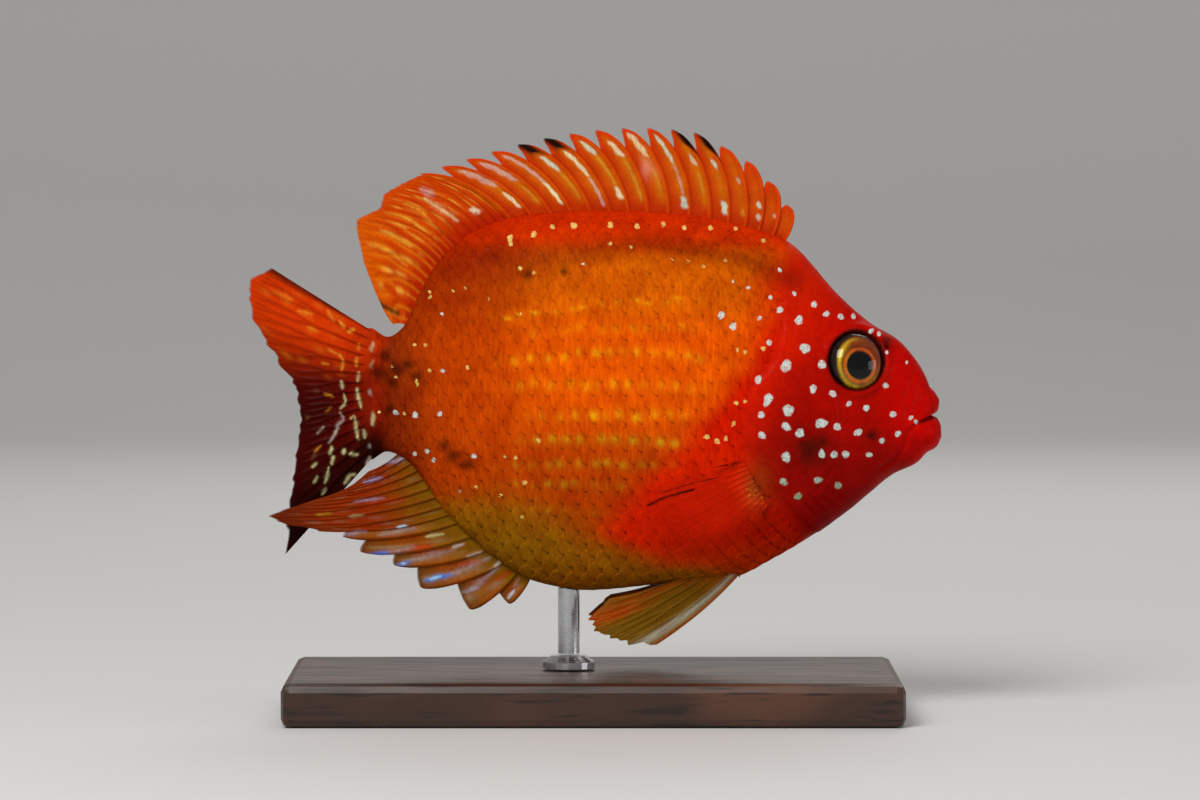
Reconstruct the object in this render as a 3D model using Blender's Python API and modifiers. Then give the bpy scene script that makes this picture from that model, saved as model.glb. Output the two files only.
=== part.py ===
"""Blood parrot cichlid, a still model at life size, held by a plain stand.

The fish swims level with its snout a little low, as pictured: head towards +X, back
towards +Z, and its middle plane is Y = 0. The origin is on the underside of the
stand's base, below the middle of the fish. Sizes are millimetres, turned into
Blender's metres where a mesh is made.

The flesh is one lofted body. Thin cuts part it into head, gill covers, torso and tail
stem. Each fin is a webbed plate with its spines or rays raised in the plate's own
surface, and is cut back to GAP from the flesh that it grows from.
"""
import math

import bmesh
import bpy
from mathutils import Matrix, Vector

MM = 0.001
GAP = 0.3
SINK = 2.2

# The body: heights of back and belly and half widths, each at a few stations along X
BODY_REAR = -30.4
BODY_FRONT = 46.7
BACK = ((-30.4, 53.1), (-28.2, 51.9), (-26.2, 53.2), (-24.2, 57.4), (-21.4, 62.2),
        (-16.6, 66.3), (-9.0, 68.8), (2.0, 69.3), (12.6, 68.8), (22.6, 66.6),
        (26.4, 65.2), (34.1, 57.2), (38.5, 53.5), (41.6, 51.7), (44.2, 48.9),
        (46.0, 45.6), (46.7, 42.0))
BELLY = ((-30.4, 35.0), (-28.4, 36.1), (-26.6, 35.5), (-19.1, 26.4), (-11.6, 20.1),
         (-7.6, 18.1), (-1.0, 17.0), (8.5, 17.8), (19.5, 18.9), (24.2, 21.1),
         (33.6, 26.9), (37.6, 30.1), (41.2, 33.0), (44.5, 34.6), (46.2, 36.9),
         (46.7, 39.8))
HALF_WIDTH = ((-30.4, 1.5), (-27.0, 2.9), (-22.0, 4.4), (-15.0, 6.4), (-6.0, 8.4),
              (4.0, 9.6), (14.0, 9.9), (22.0, 9.6), (30.0, 8.7), (36.0, 7.4),
              (41.0, 5.7), (44.5, 4.4), (46.2, 3.0), (46.7, 1.5))
WIDEST = ((-30.4, 0.5), (0.0, 0.47), (24.0, 0.44), (36.0, 0.40), (46.7, 0.5))
BACK_POWER = ((-30.4, 1.0), (10.0, 1.12), (26.0, 1.0), (36.0, 0.78), (46.7, 0.85))
BELLY_POWER = ((-30.4, 1.0), (0.0, 0.9), (30.0, 0.85), (46.7, 0.9))
BODY_STATIONS = 46
BODY_SIDES = 34

# The cuts: the gill opening from nape to throat, and the start of the tail stem
GILL_EDGE = ((25.2, 72.0), (25.9, 58.0), (25.4, 50.0), (22.1, 45.1), (21.3, 40.8),
             (22.1, 36.4), (24.6, 32.0), (27.8, 27.8), (32.0, 23.6), (37.0, 16.0))
STEM_EDGE = ((-18.4, 74.0), (-19.4, 60.0), (-20.2, 45.0), (-19.6, 30.0), (-18.4, 12.0))
COVER_FRONT = ((25.6, 49.6), (28.8, 50.2), (32.0, 47.0), (33.2, 41.5), (33.4, 36.0),
               (33.6, 31.6), (31.6, 29.2), (27.4, 28.4))
COVER_THICKNESS = 1.3
COVER_PROUD = 0.25
CUT_REACH = 30.0

# The head
EYE_CENTRE = (35.9, 48.9)
EYE_RADIUS = 4.0
EYE_DEPTH = 2.4
EYE_SUNK = 0.9
RIM_RADIUS = 4.15
RIM_TUBE = 0.55
RIM_ASPECT = 0.94
LIP_CENTRE_X = 43.9
UPPER_LIP = {"reach": 2.6, "spread": 3.8, "height": 42.85, "rise": -2.0, "tube": 1.1}
LOWER_LIP = {"reach": 2.3, "spread": 3.6, "height": 38.75, "rise": 0.4, "tube": 1.7}
LIP_TALLER = 1.45
LIP_CORNER_TUBE = 0.7
LIP_SWEEP = math.radians(82)
MOUTH_OPENING = 0.7
MOUTH_FRONT = (49.0, 41.6)
MOUTH_CORNER = (44.0, 39.9)
NOSTRIL_AT = (40.2, 50.6)
NOSTRIL_RADIUS = 0.42
NOSTRIL_DEPTH = 0.8

# Fin sheets: full thickness of web and ray at the root and at the edge
WEB_ROOT = 0.55
WEB_EDGE = 0.34
RAY_ROOT = 1.15
RAY_EDGE = 0.55
FIN_ROWS = 5

# The stand
BASE_LENGTH = 84.0
BASE_WIDTH = 44.0
BASE_THICKNESS = 6.0
BASE_BEVEL = 1.2
ROD_X = -3.4
ROD_RADIUS = 1.5
ROD_SIDES = 24
COLLAR_PROFILE = ((3.6, 0.0), (3.6, 0.9), (2.4, 1.7))

FINISHES = {
    "head": ((0.56, 0.012, 0.004), 0.32, 0.0),
    "gill_cover": ((0.54, 0.016, 0.004), 0.3, 0.0),
    "torso": ((0.72, 0.10, 0.008), 0.34, 0.0),
    "tail_stem": ((0.50, 0.05, 0.008), 0.36, 0.0),
    "eye": ((0.55, 0.30, 0.03), 0.08, 0.1),
    "spiny_fin": ((0.70, 0.07, 0.006), 0.4, 0.0),
    "soft_fin": ((0.74, 0.10, 0.008), 0.4, 0.0),
    "tail_fin": ((0.46, 0.02, 0.006), 0.4, 0.0),
    "anal_fin": ((0.58, 0.22, 0.02), 0.4, 0.0),
    "pectoral_fin": ((0.70, 0.03, 0.006), 0.35, 0.0),
    "pelvic_fin": ((0.60, 0.34, 0.03), 0.4, 0.0),
    "stand_wood": ((0.10, 0.045, 0.022), 0.4, 0.0),
    "stand_metal": ((0.60, 0.60, 0.60), 0.25, 1.0),
}


def law(points):
    """Smooth curve through (place, value) pairs that never overshoots them."""
    xs = [float(p[0]) for p in points]
    ys = [float(p[1]) for p in points]
    steps = [b - a for a, b in zip(xs, xs[1:])]
    slopes = [(d - c) / step for c, d, step in zip(ys, ys[1:], steps)]
    tangents = [slopes[0]]
    for before, after in zip(slopes, slopes[1:]):
        same_way = before * after > 0.0
        tangents.append(2.0 * before * after / (before + after) if same_way else 0.0)
    tangents.append(slopes[-1])

    def value(place):
        place = min(max(place, xs[0]), xs[-1])
        k = 0
        while k < len(steps) - 1 and place > xs[k + 1]:
            k += 1
        t = (place - xs[k]) / steps[k]
        start = (1.0 + 2.0 * t) * (1.0 - t) ** 2 * ys[k] + t * t * (3.0 - 2.0 * t) * ys[k + 1]
        pull = t * (1.0 - t) ** 2 * tangents[k] - t * t * (1.0 - t) * tangents[k + 1]
        return start + steps[k] * pull

    return value


back = law(BACK)
belly = law(BELLY)
half_width = law(HALF_WIDTH)
widest = law(WIDEST)
back_power = law(BACK_POWER)
belly_power = law(BELLY_POWER)


def middle(x):
    """Height at which the body is widest."""
    return belly(x) + widest(x) * (back(x) - belly(x))


def flank(x, z):
    """Half thickness of the body at station x and height z."""
    level = middle(x)
    if z > level:
        share = (z - level) / (back(x) - level)
        power = back_power(x)
    else:
        share = (level - z) / (level - belly(x))
        power = belly_power(x)
    share = min(share, 1.0)
    return half_width(x) * (1.0 - share * share) ** (0.5 * power)


def flank_normal(x, z, side):
    """Outward direction of the body's surface on one side, side being 1 or -1."""
    step = 0.4
    along = (flank(x + step, z) - flank(x - step, z)) / (2.0 * step)
    up = (flank(x, z + step) - flank(x, z - step)) / (2.0 * step)
    return Vector((-along, side, -up)).normalized()


def finish(obj, key):
    """Give an object its own Principled material."""
    colour, roughness, metallic = FINISHES[key]
    material = bpy.data.materials.new(obj.name + "_finish")
    material.use_nodes = True
    shader = material.node_tree.nodes["Principled BSDF"]
    shader.inputs["Base Color"].default_value = (*colour, 1.0)
    shader.inputs["Roughness"].default_value = roughness
    shader.inputs["Metallic"].default_value = metallic
    obj.data.materials.clear()
    obj.data.materials.append(material)


def make_object(name, bm, collection):
    """Turn a mesh in millimetres into an object in metres, faces pointing out."""
    bm.normal_update()
    bmesh.ops.recalc_face_normals(bm, faces=bm.faces[:])
    bmesh.ops.scale(bm, vec=(MM, MM, MM), verts=bm.verts[:])
    mesh = bpy.data.meshes.new(name)
    bm.to_mesh(mesh)
    bm.free()
    obj = bpy.data.objects.new(name, mesh)
    collection.objects.link(obj)
    return obj


def make_cutter(name, bm):
    """A shape that only cuts or joins others."""
    obj = make_object(name, bm, cutters)
    obj.hide_render = True
    obj.display_type = "WIRE"
    return obj


def apply_modifiers(obj):
    """Replace an object's mesh by its evaluated one."""
    evaluated = obj.evaluated_get(bpy.context.evaluated_depsgraph_get())
    mesh = bpy.data.meshes.new_from_object(evaluated)
    obj.modifiers.clear()
    old = obj.data
    obj.data = mesh
    bpy.data.meshes.remove(old)


def keep_largest(obj):
    """Keep the closed surface with the most faces."""
    bm = bmesh.new()
    bm.from_mesh(obj.data)
    left = set(bm.faces)
    shells = []
    while left:
        seed = left.pop()
        shell = {seed}
        front = [seed]
        while front:
            face = front.pop()
            for edge in face.edges:
                for other in edge.link_faces:
                    if other in left:
                        left.discard(other)
                        shell.add(other)
                        front.append(other)
        shells.append(shell)
    biggest = max(shells, key=lambda shell: sum(face.calc_area() for face in shell))
    loose = [face for shell in shells if shell is not biggest for face in shell]
    bmesh.ops.delete(bm, geom=loose, context="FACES")
    bm.to_mesh(obj.data)
    bm.free()


def boolean(obj, tool, operation):
    """Cut an object by another one, or keep what they share."""
    modifier = obj.modifiers.new(operation.lower(), "BOOLEAN")
    modifier.operation = operation
    modifier.object = tool
    modifier.solver = "EXACT"
    apply_modifiers(obj)


def fuse(obj, pieces):
    """Join closed pieces to an object in one union and remove them."""
    group = bpy.data.collections.new(obj.name + "_pieces")
    bpy.context.scene.collection.children.link(group)
    for piece in pieces:
        cutters.objects.unlink(piece)
        group.objects.link(piece)
    modifier = obj.modifiers.new("union", "BOOLEAN")
    modifier.operation = "UNION"
    modifier.operand_type = "COLLECTION"
    modifier.collection = group
    modifier.solver = "EXACT"
    apply_modifiers(obj)
    discard(pieces)
    bpy.data.collections.remove(group)
    keep_largest(obj)


def discard(objects):
    """Remove objects that have done their cutting."""
    for obj in objects:
        bpy.data.objects.remove(obj, do_unlink=True)


def loft(rings):
    """Closed skin over rings of equal size, with a fan over each end."""
    bm = bmesh.new()
    rows = [[bm.verts.new(point) for point in ring] for ring in rings]
    count = len(rows[0])
    for low, high in zip(rows, rows[1:]):
        for k in range(count):
            after = (k + 1) % count
            bm.faces.new((low[k], low[after], high[after], high[k]))
    for row in (rows[0], rows[-1]):
        hub = bm.verts.new(sum((v.co for v in row), Vector()) / count)
        for k in range(count):
            bm.faces.new((row[k], row[(k + 1) % count], hub))
    return bm


def body_ring(x):
    """Section of the body at one station."""
    level = middle(x)
    ring = []
    for k in range(BODY_SIDES):
        angle = 2.0 * math.pi * k / BODY_SIDES
        up = math.cos(angle)
        out = math.sin(angle)
        power = back_power(x) if up > 0.0 else belly_power(x)
        reach = back(x) - level if up > 0.0 else level - belly(x)
        y = math.copysign(half_width(x) * abs(out) ** power, out)
        ring.append(Vector((x, y, level + reach * up)))
    return ring


def body_mesh(grow=0.0):
    """The whole flesh as one loft, with its surface moved out by grow."""
    rings = []
    for k in range(BODY_STATIONS + 1):
        even = k / BODY_STATIONS
        eased = 0.5 - 0.5 * math.cos(math.pi * even)
        share = 0.35 * even + 0.65 * eased
        rings.append(body_ring(BODY_REAR + share * (BODY_FRONT - BODY_REAR)))
    bm = loft(rings)
    bm.normal_update()
    bmesh.ops.recalc_face_normals(bm, faces=bm.faces[:])
    bm.normal_update()
    moves = [(vert, vert.normal.copy()) for vert in bm.verts]
    for vert, normal in moves:
        vert.co += normal * grow
    return bm


def moved_line(points, distance):
    """A line in the XZ plane moved towards +X by distance, square to itself."""
    moved = []
    for k, point in enumerate(points):
        before = Vector(points[max(k - 1, 0)])
        after = Vector(points[min(k + 1, len(points) - 1)])
        run = (after - before).normalized()
        across = Vector((-run.y, run.x))
        if across.x < 0.0:
            across.negate()
        moved.append(tuple(Vector(point) + across * distance))
    return moved


def smooth_line(points, per_span=3):
    """Catmull-Rom line through the points, per_span pieces between two of them."""
    spots = [Vector(p) for p in points]
    spots = [2.0 * spots[0] - spots[1]] + spots + [2.0 * spots[-1] - spots[-2]]
    line = []
    for k in range(1, len(spots) - 2):
        a, b, c, d = spots[k - 1:k + 3]
        for step in range(per_span):
            t = step / per_span
            line.append(tuple(0.5 * (2.0 * b + (c - a) * t + (2.0 * a - 5.0 * b + 4.0 * c - d) * t * t
                                     + (3.0 * b - a - 3.0 * c + d) * t ** 3)))
    line.append(tuple(spots[-2]))
    return line


def prism(outline, low=-CUT_REACH, high=CUT_REACH):
    """Upright outline in the XZ plane, drawn out along Y."""
    bm = bmesh.new()
    near = [bm.verts.new((x, low, z)) for x, z in outline]
    far = [bm.verts.new((x, high, z)) for x, z in outline]
    bm.faces.new(near)
    bm.faces.new(far)
    for k in range(len(outline)):
        after = (k + 1) % len(outline)
        bm.faces.new((near[k], near[after], far[after], far[k]))
    return bm


def flesh(name, outline):
    """One length of the body, cut out of the whole by an outline."""
    obj = make_object(name, body_mesh(), parts)
    tool = make_cutter(name + "_outline", prism(outline))
    boolean(obj, tool, "INTERSECT")
    discard([tool])
    keep_largest(obj)
    return obj


def gill_line(distance):
    return moved_line(smooth_line(GILL_EDGE), distance)


def stem_line(distance):
    return moved_line(smooth_line(STEM_EDGE), distance)


def make_torso():
    front = gill_line(-0.5 * GAP)
    rear = stem_line(0.5 * GAP)
    torso = flesh("torso", front + rear[::-1])
    finish(torso, "torso")


def make_tail_stem():
    rear = stem_line(-0.5 * GAP)
    far_x = BODY_REAR - 10.0
    stem = flesh("tail_stem", rear + [(far_x, rear[-1][1]), (far_x, rear[0][1])])
    finish(stem, "tail_stem")


def grown_outline(points, distance):
    """A closed outline in the XZ plane moved outwards by distance."""
    spots = [Vector(p) for p in points]
    pairs = zip(spots, spots[1:] + spots[:1])
    area = sum(a.x * b.y - b.x * a.y for a, b in pairs)
    turn = 1.0 if area > 0.0 else -1.0
    grown = []
    for k, spot in enumerate(spots):
        run_in = (spot - spots[k - 1]).normalized()
        run_out = (spots[(k + 1) % len(spots)] - spot).normalized()
        out = (Vector((run_in.y, -run_in.x)) + Vector((run_out.y, -run_out.x))).normalized()
        grown.append(tuple(spot + out * distance * turn))
    return grown


def cover_outline():
    """Outline of a gill cover: its rear edge is the gill opening."""
    low, high = COVER_FRONT[-1][1], COVER_FRONT[0][1]
    rear = [p for p in gill_line(0.5 * GAP) if low < p[1] < high]
    return rear + smooth_line(COVER_FRONT, 2)[::-1]


def make_gill_covers():
    """Two plates that lie in pockets of the head and end at the gill opening."""
    core = make_cutter("cover_core", body_mesh(-COVER_THICKNESS))
    outline = cover_outline()
    for name, low, high in (("gill_cover_left", 1.0, CUT_REACH),
                            ("gill_cover_right", -CUT_REACH, -1.0)):
        cover = make_object(name, body_mesh(COVER_PROUD), parts)
        tool = make_cutter("cover_outline", prism(outline, low, high))
        boolean(cover, tool, "INTERSECT")
        boolean(cover, core, "DIFFERENCE")
        discard([tool])
        keep_largest(cover)
        finish(cover, "gill_cover")
    discard([core])


def tube(points, radii, taller=1.0, sides=10):
    """Tube along a line of points, taller than it is deep."""
    rings = []
    for k, point in enumerate(points):
        before = points[max(k - 1, 0)]
        after = points[min(k + 1, len(points) - 1)]
        run = (after - before).normalized()
        across = run.cross(Vector((0.0, 0.0, 1.0))).normalized()
        up = across.cross(run)
        turns = [2.0 * math.pi * step / sides for step in range(sides)]
        up = up * taller
        rings.append([point + radii[k] * (math.cos(a) * across + math.sin(a) * up) for a in turns])
    return loft(rings)


def make_lip(name, lip, steps=12):
    """A rounded lip that runs round the snout from one corner of the mouth to the other."""
    points = []
    radii = []
    for k in range(steps + 1):
        angle = LIP_SWEEP * (2.0 * k / steps - 1.0)
        fade = math.cos(angle)
        points.append(Vector((LIP_CENTRE_X + lip["reach"] * fade,
                              lip["spread"] * math.sin(angle),
                              lip["height"] + lip["rise"] * (1.0 - fade))))
        radii.append(LIP_CORNER_TUBE + (lip["tube"] - LIP_CORNER_TUBE) * fade)
    return make_cutter(name, tube(points, radii, LIP_TALLER))


def eye_frame(side):
    """Centre and outward axis of one eye."""
    x, z = EYE_CENTRE
    axis = flank_normal(x, z, side)
    surface = Vector((x, side * flank(x, z), z))
    return surface - axis * EYE_SUNK, axis


def eye_mesh(side, grow):
    """Flattened ball of one eye, its surface moved out by grow."""
    centre, axis = eye_frame(side)
    bm = bmesh.new()
    bmesh.ops.create_uvsphere(bm, u_segments=20, v_segments=12, radius=1.0)
    across = EYE_RADIUS + grow
    bmesh.ops.scale(bm, vec=(across, across, EYE_DEPTH + grow), verts=bm.verts[:])
    turn = axis.to_track_quat("Z", "Y").to_matrix().to_4x4()
    bm.transform(Matrix.Translation(centre) @ turn)
    return bm


def make_eye_rim(side, steps=20, sides=6):
    """Raised ring of skin round an eye, laid on the surface of the head."""
    x, z = EYE_CENTRE
    bm = bmesh.new()
    rows = []
    for k in range(steps):
        angle = 2.0 * math.pi * k / steps
        row = []
        for step in range(sides):
            turn = 2.0 * math.pi * step / sides
            reach = RIM_RADIUS + RIM_TUBE * math.cos(turn)
            px = x + RIM_ASPECT * reach * math.cos(angle)
            pz = z + reach * math.sin(angle)
            row.append(bm.verts.new((px, side * (flank(px, pz) + RIM_TUBE * math.sin(turn)), pz)))
        rows.append(row)
    for k, row in enumerate(rows):
        after = rows[(k + 1) % steps]
        for step in range(sides):
            following = (step + 1) % sides
            bm.faces.new((row[step], row[following], after[following], after[step]))
    return make_cutter("eye_rim", bm)


def make_nostril(side):
    """Small round pit in front of an eye."""
    x, z = NOSTRIL_AT
    normal = flank_normal(x, z, side)
    bm = bmesh.new()
    bmesh.ops.create_cone(bm, cap_ends=True, segments=10, radius1=NOSTRIL_RADIUS,
                          radius2=NOSTRIL_RADIUS, depth=2.0 * NOSTRIL_DEPTH)
    turn = normal.to_track_quat("Z", "Y").to_matrix().to_4x4()
    bm.transform(Matrix.Translation((x, side * flank(x, z), z)) @ turn)
    return make_cutter("nostril", bm)


def make_mouth_cut():
    """Wedge that opens the line of the mouth back to its corners."""
    front_x, front_z = MOUTH_FRONT
    corner_x, corner_z = MOUTH_CORNER
    half = 0.5 * MOUTH_OPENING
    outline = [(corner_x, corner_z - 0.12), (front_x, front_z - half),
               (front_x, front_z + half), (corner_x, corner_z + 0.12)]
    return make_cutter("mouth", prism(outline))


def make_head():
    front = gill_line(0.5 * GAP)
    far_x = BODY_FRONT + 10.0
    head = flesh("head", front + [(far_x, front[-1][1]), (far_x, front[0][1])])
    fuse(head, [make_lip("upper_lip", UPPER_LIP), make_lip("lower_lip", LOWER_LIP),
                make_eye_rim(1), make_eye_rim(-1)])
    tools = [make_cutter("socket", eye_mesh(side, GAP)) for side in (1, -1)]
    tools += [make_nostril(side) for side in (1, -1)]
    tools.append(make_mouth_cut())
    pocket = make_cutter("cover_pocket", prism(grown_outline(cover_outline(), GAP)))
    core = make_cutter("pocket_core", body_mesh(-COVER_THICKNESS - GAP))
    boolean(pocket, core, "DIFFERENCE")
    discard([core])
    for tool in tools + [pocket]:
        boolean(head, tool, "DIFFERENCE")
    discard(tools + [pocket])
    keep_largest(head)
    finish(head, "head")


def make_eyes():
    for name, side in (("eye_left", 1), ("eye_right", -1)):
        finish(make_object(name, eye_mesh(side, 0.0), parts), "eye")


def ray_place(root, angle, length, share, bow):
    """Point at a share of a ray's length; the ray starts bow degrees off its chord."""
    heading = math.radians(angle + bow * (1.0 - share))
    return (root[0] + length * share * math.cos(heading),
            root[1] + length * share * math.sin(heading))


def fin_mesh(columns, sideways, rows=FIN_ROWS):
    """Closed sheet over columns of points; both faces are split into triangles alike.

    A column is (root, angle, length, bow, root thickness, edge thickness), in order
    along the fin. sideways(x, z, share) is the Y of the middle of the sheet.
    """
    grid = []
    for root, angle, length, bow, thick, thin in columns:
        heading = math.radians(angle + bow)
        start = (root[0] - SINK * math.cos(heading), root[1] - SINK * math.sin(heading))
        line = [(Vector((start[0], sideways(start[0], start[1], 0.0), start[1])), thick)]
        for k in range(rows + 1):
            share = k / rows
            x, z = ray_place(root, angle, length, share, bow)
            width = thick + (thin - thick) * share
            line.append((Vector((x, sideways(x, z, share), z)), width))
        grid.append(line)
    last_column = len(grid) - 1
    last_row = rows + 1
    bm = bmesh.new()
    faces = []
    for side in (0.5, -0.5):
        face = []
        for i, line in enumerate(grid):
            strip = []
            for j, (point, width) in enumerate(line):
                along = grid[min(i + 1, last_column)][j][0] - grid[max(i - 1, 0)][j][0]
                up = line[min(j + 1, last_row)][0] - line[max(j - 1, 0)][0]
                normal = along.cross(up).normalized()
                strip.append(bm.verts.new(point + normal * width * side))
            face.append(strip)
        faces.append(face)
    one, other = faces
    for i in range(last_column):
        for j in range(last_row):
            for face, turn in ((one, 1), (other, -1)):
                a, b, c, d = face[i][j], face[i + 1][j], face[i + 1][j + 1], face[i][j + 1]
                bm.faces.new((a, b, c)[::turn])
                bm.faces.new((a, c, d)[::turn])
    border = [(i, 0) for i in range(last_column)]
    border += [(last_column, j) for j in range(last_row)]
    border += [(i, last_row) for i in range(last_column, 0, -1)]
    border += [(0, j) for j in range(last_row, 0, -1)]
    for (i, j), (p, q) in zip(border, border[1:] + border[:1]):
        bm.faces.new((one[i][j], other[i][j], other[p][q]))
        bm.faces.new((one[i][j], other[p][q], one[p][q]))
    return bm


def make_fin(name, key, columns, sideways):
    """A fin sheet cut back to GAP from the flesh that it grows from."""
    fin = make_object(name, fin_mesh(columns, sideways), parts)
    boolean(fin, fin_cutter, "DIFFERENCE")
    keep_largest(fin)
    finish(fin, key)
    return fin


def soft_columns(count, root_of, angle_of, length_of, bow=0.0):
    """Two columns for each soft ray: its ridge and the web behind it."""
    columns = []
    for k in range(2 * count - 1):
        share = k / (2 * count - 2)
        ridge = k % 2 == 0
        thick, thin = (RAY_ROOT, RAY_EDGE) if ridge else (WEB_ROOT, WEB_EDGE)
        reach = length_of(share) * (1.0 if ridge else 0.97)
        columns.append((root_of(share), angle_of(share), reach, bow, thick * 0.8, thin))
    return columns


# A spine's web stands behind it as a leaf: (share of the way to the next spine,
# share of the spine's length, whether the spine itself is there)
LEAF = ((-0.16, 0.88, False), (0.0, 0.975, True), (0.16, 1.0, False), (0.5, 0.94, False),
        (0.77, 0.78, False))
LEAF_FOLLOWS = 0.6
LEAF_TURN = 1.2


def spine_columns(root_of, angle_of, length_of, count, bow, forward):
    """Columns of a spiny fin: each spine with the leaf of web behind it.

    root_of, angle_of and length_of take a spine's number. The rear of a leaf follows
    the next spine part of the way, and turns forward a little to stay clear of it;
    forward is -1 where a smaller angle leans to the front, and 1 where a larger one does.
    A column that stops short of the spine's end runs along the first part of its curve.
    """
    columns = []
    for k in range(count):
        for offset, height, spine in LEAF:
            if k == count - 1 and offset > 0.2:
                continue
            thick, thin = (RAY_ROOT, RAY_EDGE) if spine else (WEB_ROOT, WEB_EDGE)
            behind = max(offset, 0.0)
            follow = LEAF_FOLLOWS * (angle_of(k + 1) - angle_of(k))
            angle = angle_of(k) + (follow + forward * LEAF_TURN) * behind + bow * (1.0 - height)
            columns.append((root_of(k + offset), angle, length_of(k) * height, bow * height,
                            thick, thin))
    return columns


def straight(x, z, share):
    return 0.0


# By number of spine: place along the back, angle and length of its chord
DORSAL_SPINES = 16
DORSAL_ROOT = ((-1, 27.2), (0, 26.3), (2, 22.7), (3, 20.8), (5, 15.9), (8, 7.4), (11, -0.5),
               (16, -14.4))
DORSAL_ANGLE = ((0, 76), (1, 87), (2, 94), (4, 106), (7, 113), (10, 127), (13, 143), (15, 152))
DORSAL_LENGTH = ((0, 4.6), (1, 7.1), (2, 9.4), (3, 11.1), (4, 12.6), (14, 12.8), (15, 13.3))
DORSAL_BOW = -22.0


def make_spiny_dorsal():
    place = law(DORSAL_ROOT)

    def root_of(number):
        x = place(number)
        return x, back(x)

    columns = spine_columns(root_of, law(DORSAL_ANGLE), law(DORSAL_LENGTH), DORSAL_SPINES,
                            DORSAL_BOW, -1.0)
    make_fin("dorsal_fin_spiny", "spiny_fin", columns, straight)


SOFT_DORSAL_RAYS = 13
SOFT_DORSAL_START = -12.9
SOFT_DORSAL_END = -25.9
SOFT_DORSAL_ANGLE = ((0, 151.5), (0.2, 150), (0.4, 152), (0.55, 151), (0.66, 153.6), (0.77, 156.3),
                     (0.87, 159), (0.93, 165), (1, 180))
SOFT_DORSAL_LENGTH = ((0, 13.0), (0.2, 12.5), (0.4, 12.6), (0.55, 11.4), (0.66, 12.6), (0.77, 10.3),
                      (0.87, 7.3), (0.93, 4.8), (1, 1.6))


def make_soft_dorsal():
    span = SOFT_DORSAL_END - SOFT_DORSAL_START

    def root_of(share):
        x = SOFT_DORSAL_START + span * share
        return x, back(x)

    columns = soft_columns(SOFT_DORSAL_RAYS, root_of, law(SOFT_DORSAL_ANGLE),
                           law(SOFT_DORSAL_LENGTH), DORSAL_BOW)
    make_fin("dorsal_fin_soft", "soft_fin", columns, straight)


TAIL_RAYS = 16
TAIL_ROOT_X = -30.0
TAIL_TOP = 52.4
TAIL_BOTTOM = 35.7
TAIL_ROOT_BULGE = 1.0
TAIL_ANGLE = ((0, 148), (0.2, 162), (0.35, 177), (0.5, 189), (0.7, 202), (0.85, 215), (1, 228))
TAIL_LENGTH = ((0, 17.2), (0.08, 19.3), (0.18, 18.0), (0.3, 13.5), (0.42, 10.3), (0.55, 9.9),
               (0.7, 11.0), (0.85, 14.0), (1, 18.7))
TAIL_SWING = 1.8
TAIL_REACH = 17.7


def tail_sideways(x, z, share):
    """The tail swings a little to the left, more in its lower lobe."""
    behind = max(TAIL_ROOT_X - x, 0.0) / TAIL_REACH
    low = min(max((50.0 - z) / 20.0, 0.0), 1.0)
    return TAIL_SWING * (0.45 + 0.55 * low) * behind ** 1.2


def make_tail_fin():
    def root_of(share):
        z = TAIL_TOP + (TAIL_BOTTOM - TAIL_TOP) * share
        return TAIL_ROOT_X - TAIL_ROOT_BULGE * math.sin(math.pi * share), z

    columns = soft_columns(TAIL_RAYS, root_of, law(TAIL_ANGLE), law(TAIL_LENGTH))
    make_fin("caudal_fin", "tail_fin", columns, tail_sideways)


ANAL_SPINES = 6
ANAL_ROOT = ((-1, -7.6), (0, -8.9), (1, -10.6), (2, -12.6), (3, -14.9), (5, -19.0), (6, -20.6))
ANAL_ANGLE = ((0, 233), (1, 220), (2, 198), (3, 190), (4, 188.5), (5, 187.5))
ANAL_LENGTH = ((0, 4.4), (1, 8.2), (2, 11.6), (3, 12.6), (4, 15.0), (5, 15.4))
ANAL_BOW = 12.0
ANAL_SOFT_RAYS = 9
ANAL_SOFT_START = -20.0
ANAL_END = -27.0
ANAL_SOFT_ANGLE = ((0, 187), (0.22, 186), (0.5, 191), (0.8, 203), (1, 210))
ANAL_SOFT_LENGTH = ((0, 18.0), (0.22, 23.3), (0.36, 20.6), (0.6, 13.6), (0.8, 8.6), (1, 4.7))
ANAL_SWING = 2.8
ANAL_BEND_START = -24.0
ANAL_REACH = 21.0


def anal_sideways(x, z, share):
    """The rear of the anal fin trails past the right side of the tail."""
    behind = max(ANAL_BEND_START - x, 0.0) / ANAL_REACH
    return -ANAL_SWING * behind ** 1.3


def make_anal_fin():
    place = law(ANAL_ROOT)

    def spine_root(number):
        x = place(number)
        return x, belly(x)

    def soft_root(share):
        x = ANAL_SOFT_START + (ANAL_END - ANAL_SOFT_START) * share
        return x, belly(x)

    spines = spine_columns(spine_root, law(ANAL_ANGLE), law(ANAL_LENGTH), ANAL_SPINES, ANAL_BOW, 1.0)
    soft = soft_columns(ANAL_SOFT_RAYS, soft_root, law(ANAL_SOFT_ANGLE), law(ANAL_SOFT_LENGTH),
                        ANAL_BOW)
    make_fin("anal_fin", "anal_fin", spines + soft, anal_sideways)


PECTORAL_RAYS = 12
PECTORAL_ROOT_TOP = (20.6, 35.4)
PECTORAL_ROOT_LOW = (23.6, 29.2)
PECTORAL_ANGLE = ((0, 197), (0.35, 205), (0.55, 212), (0.75, 222), (1, 237))
PECTORAL_LENGTH = ((0, 19.6), (0.12, 22.0), (0.3, 23.2), (0.5, 21.6), (0.7, 17.5), (0.85, 12.8),
                   (1, 8.0))
PECTORAL_LIFT = 1.5
PECTORAL_STAND_OFF = 0.75
PECTORAL_KEEL = 3.6


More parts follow.
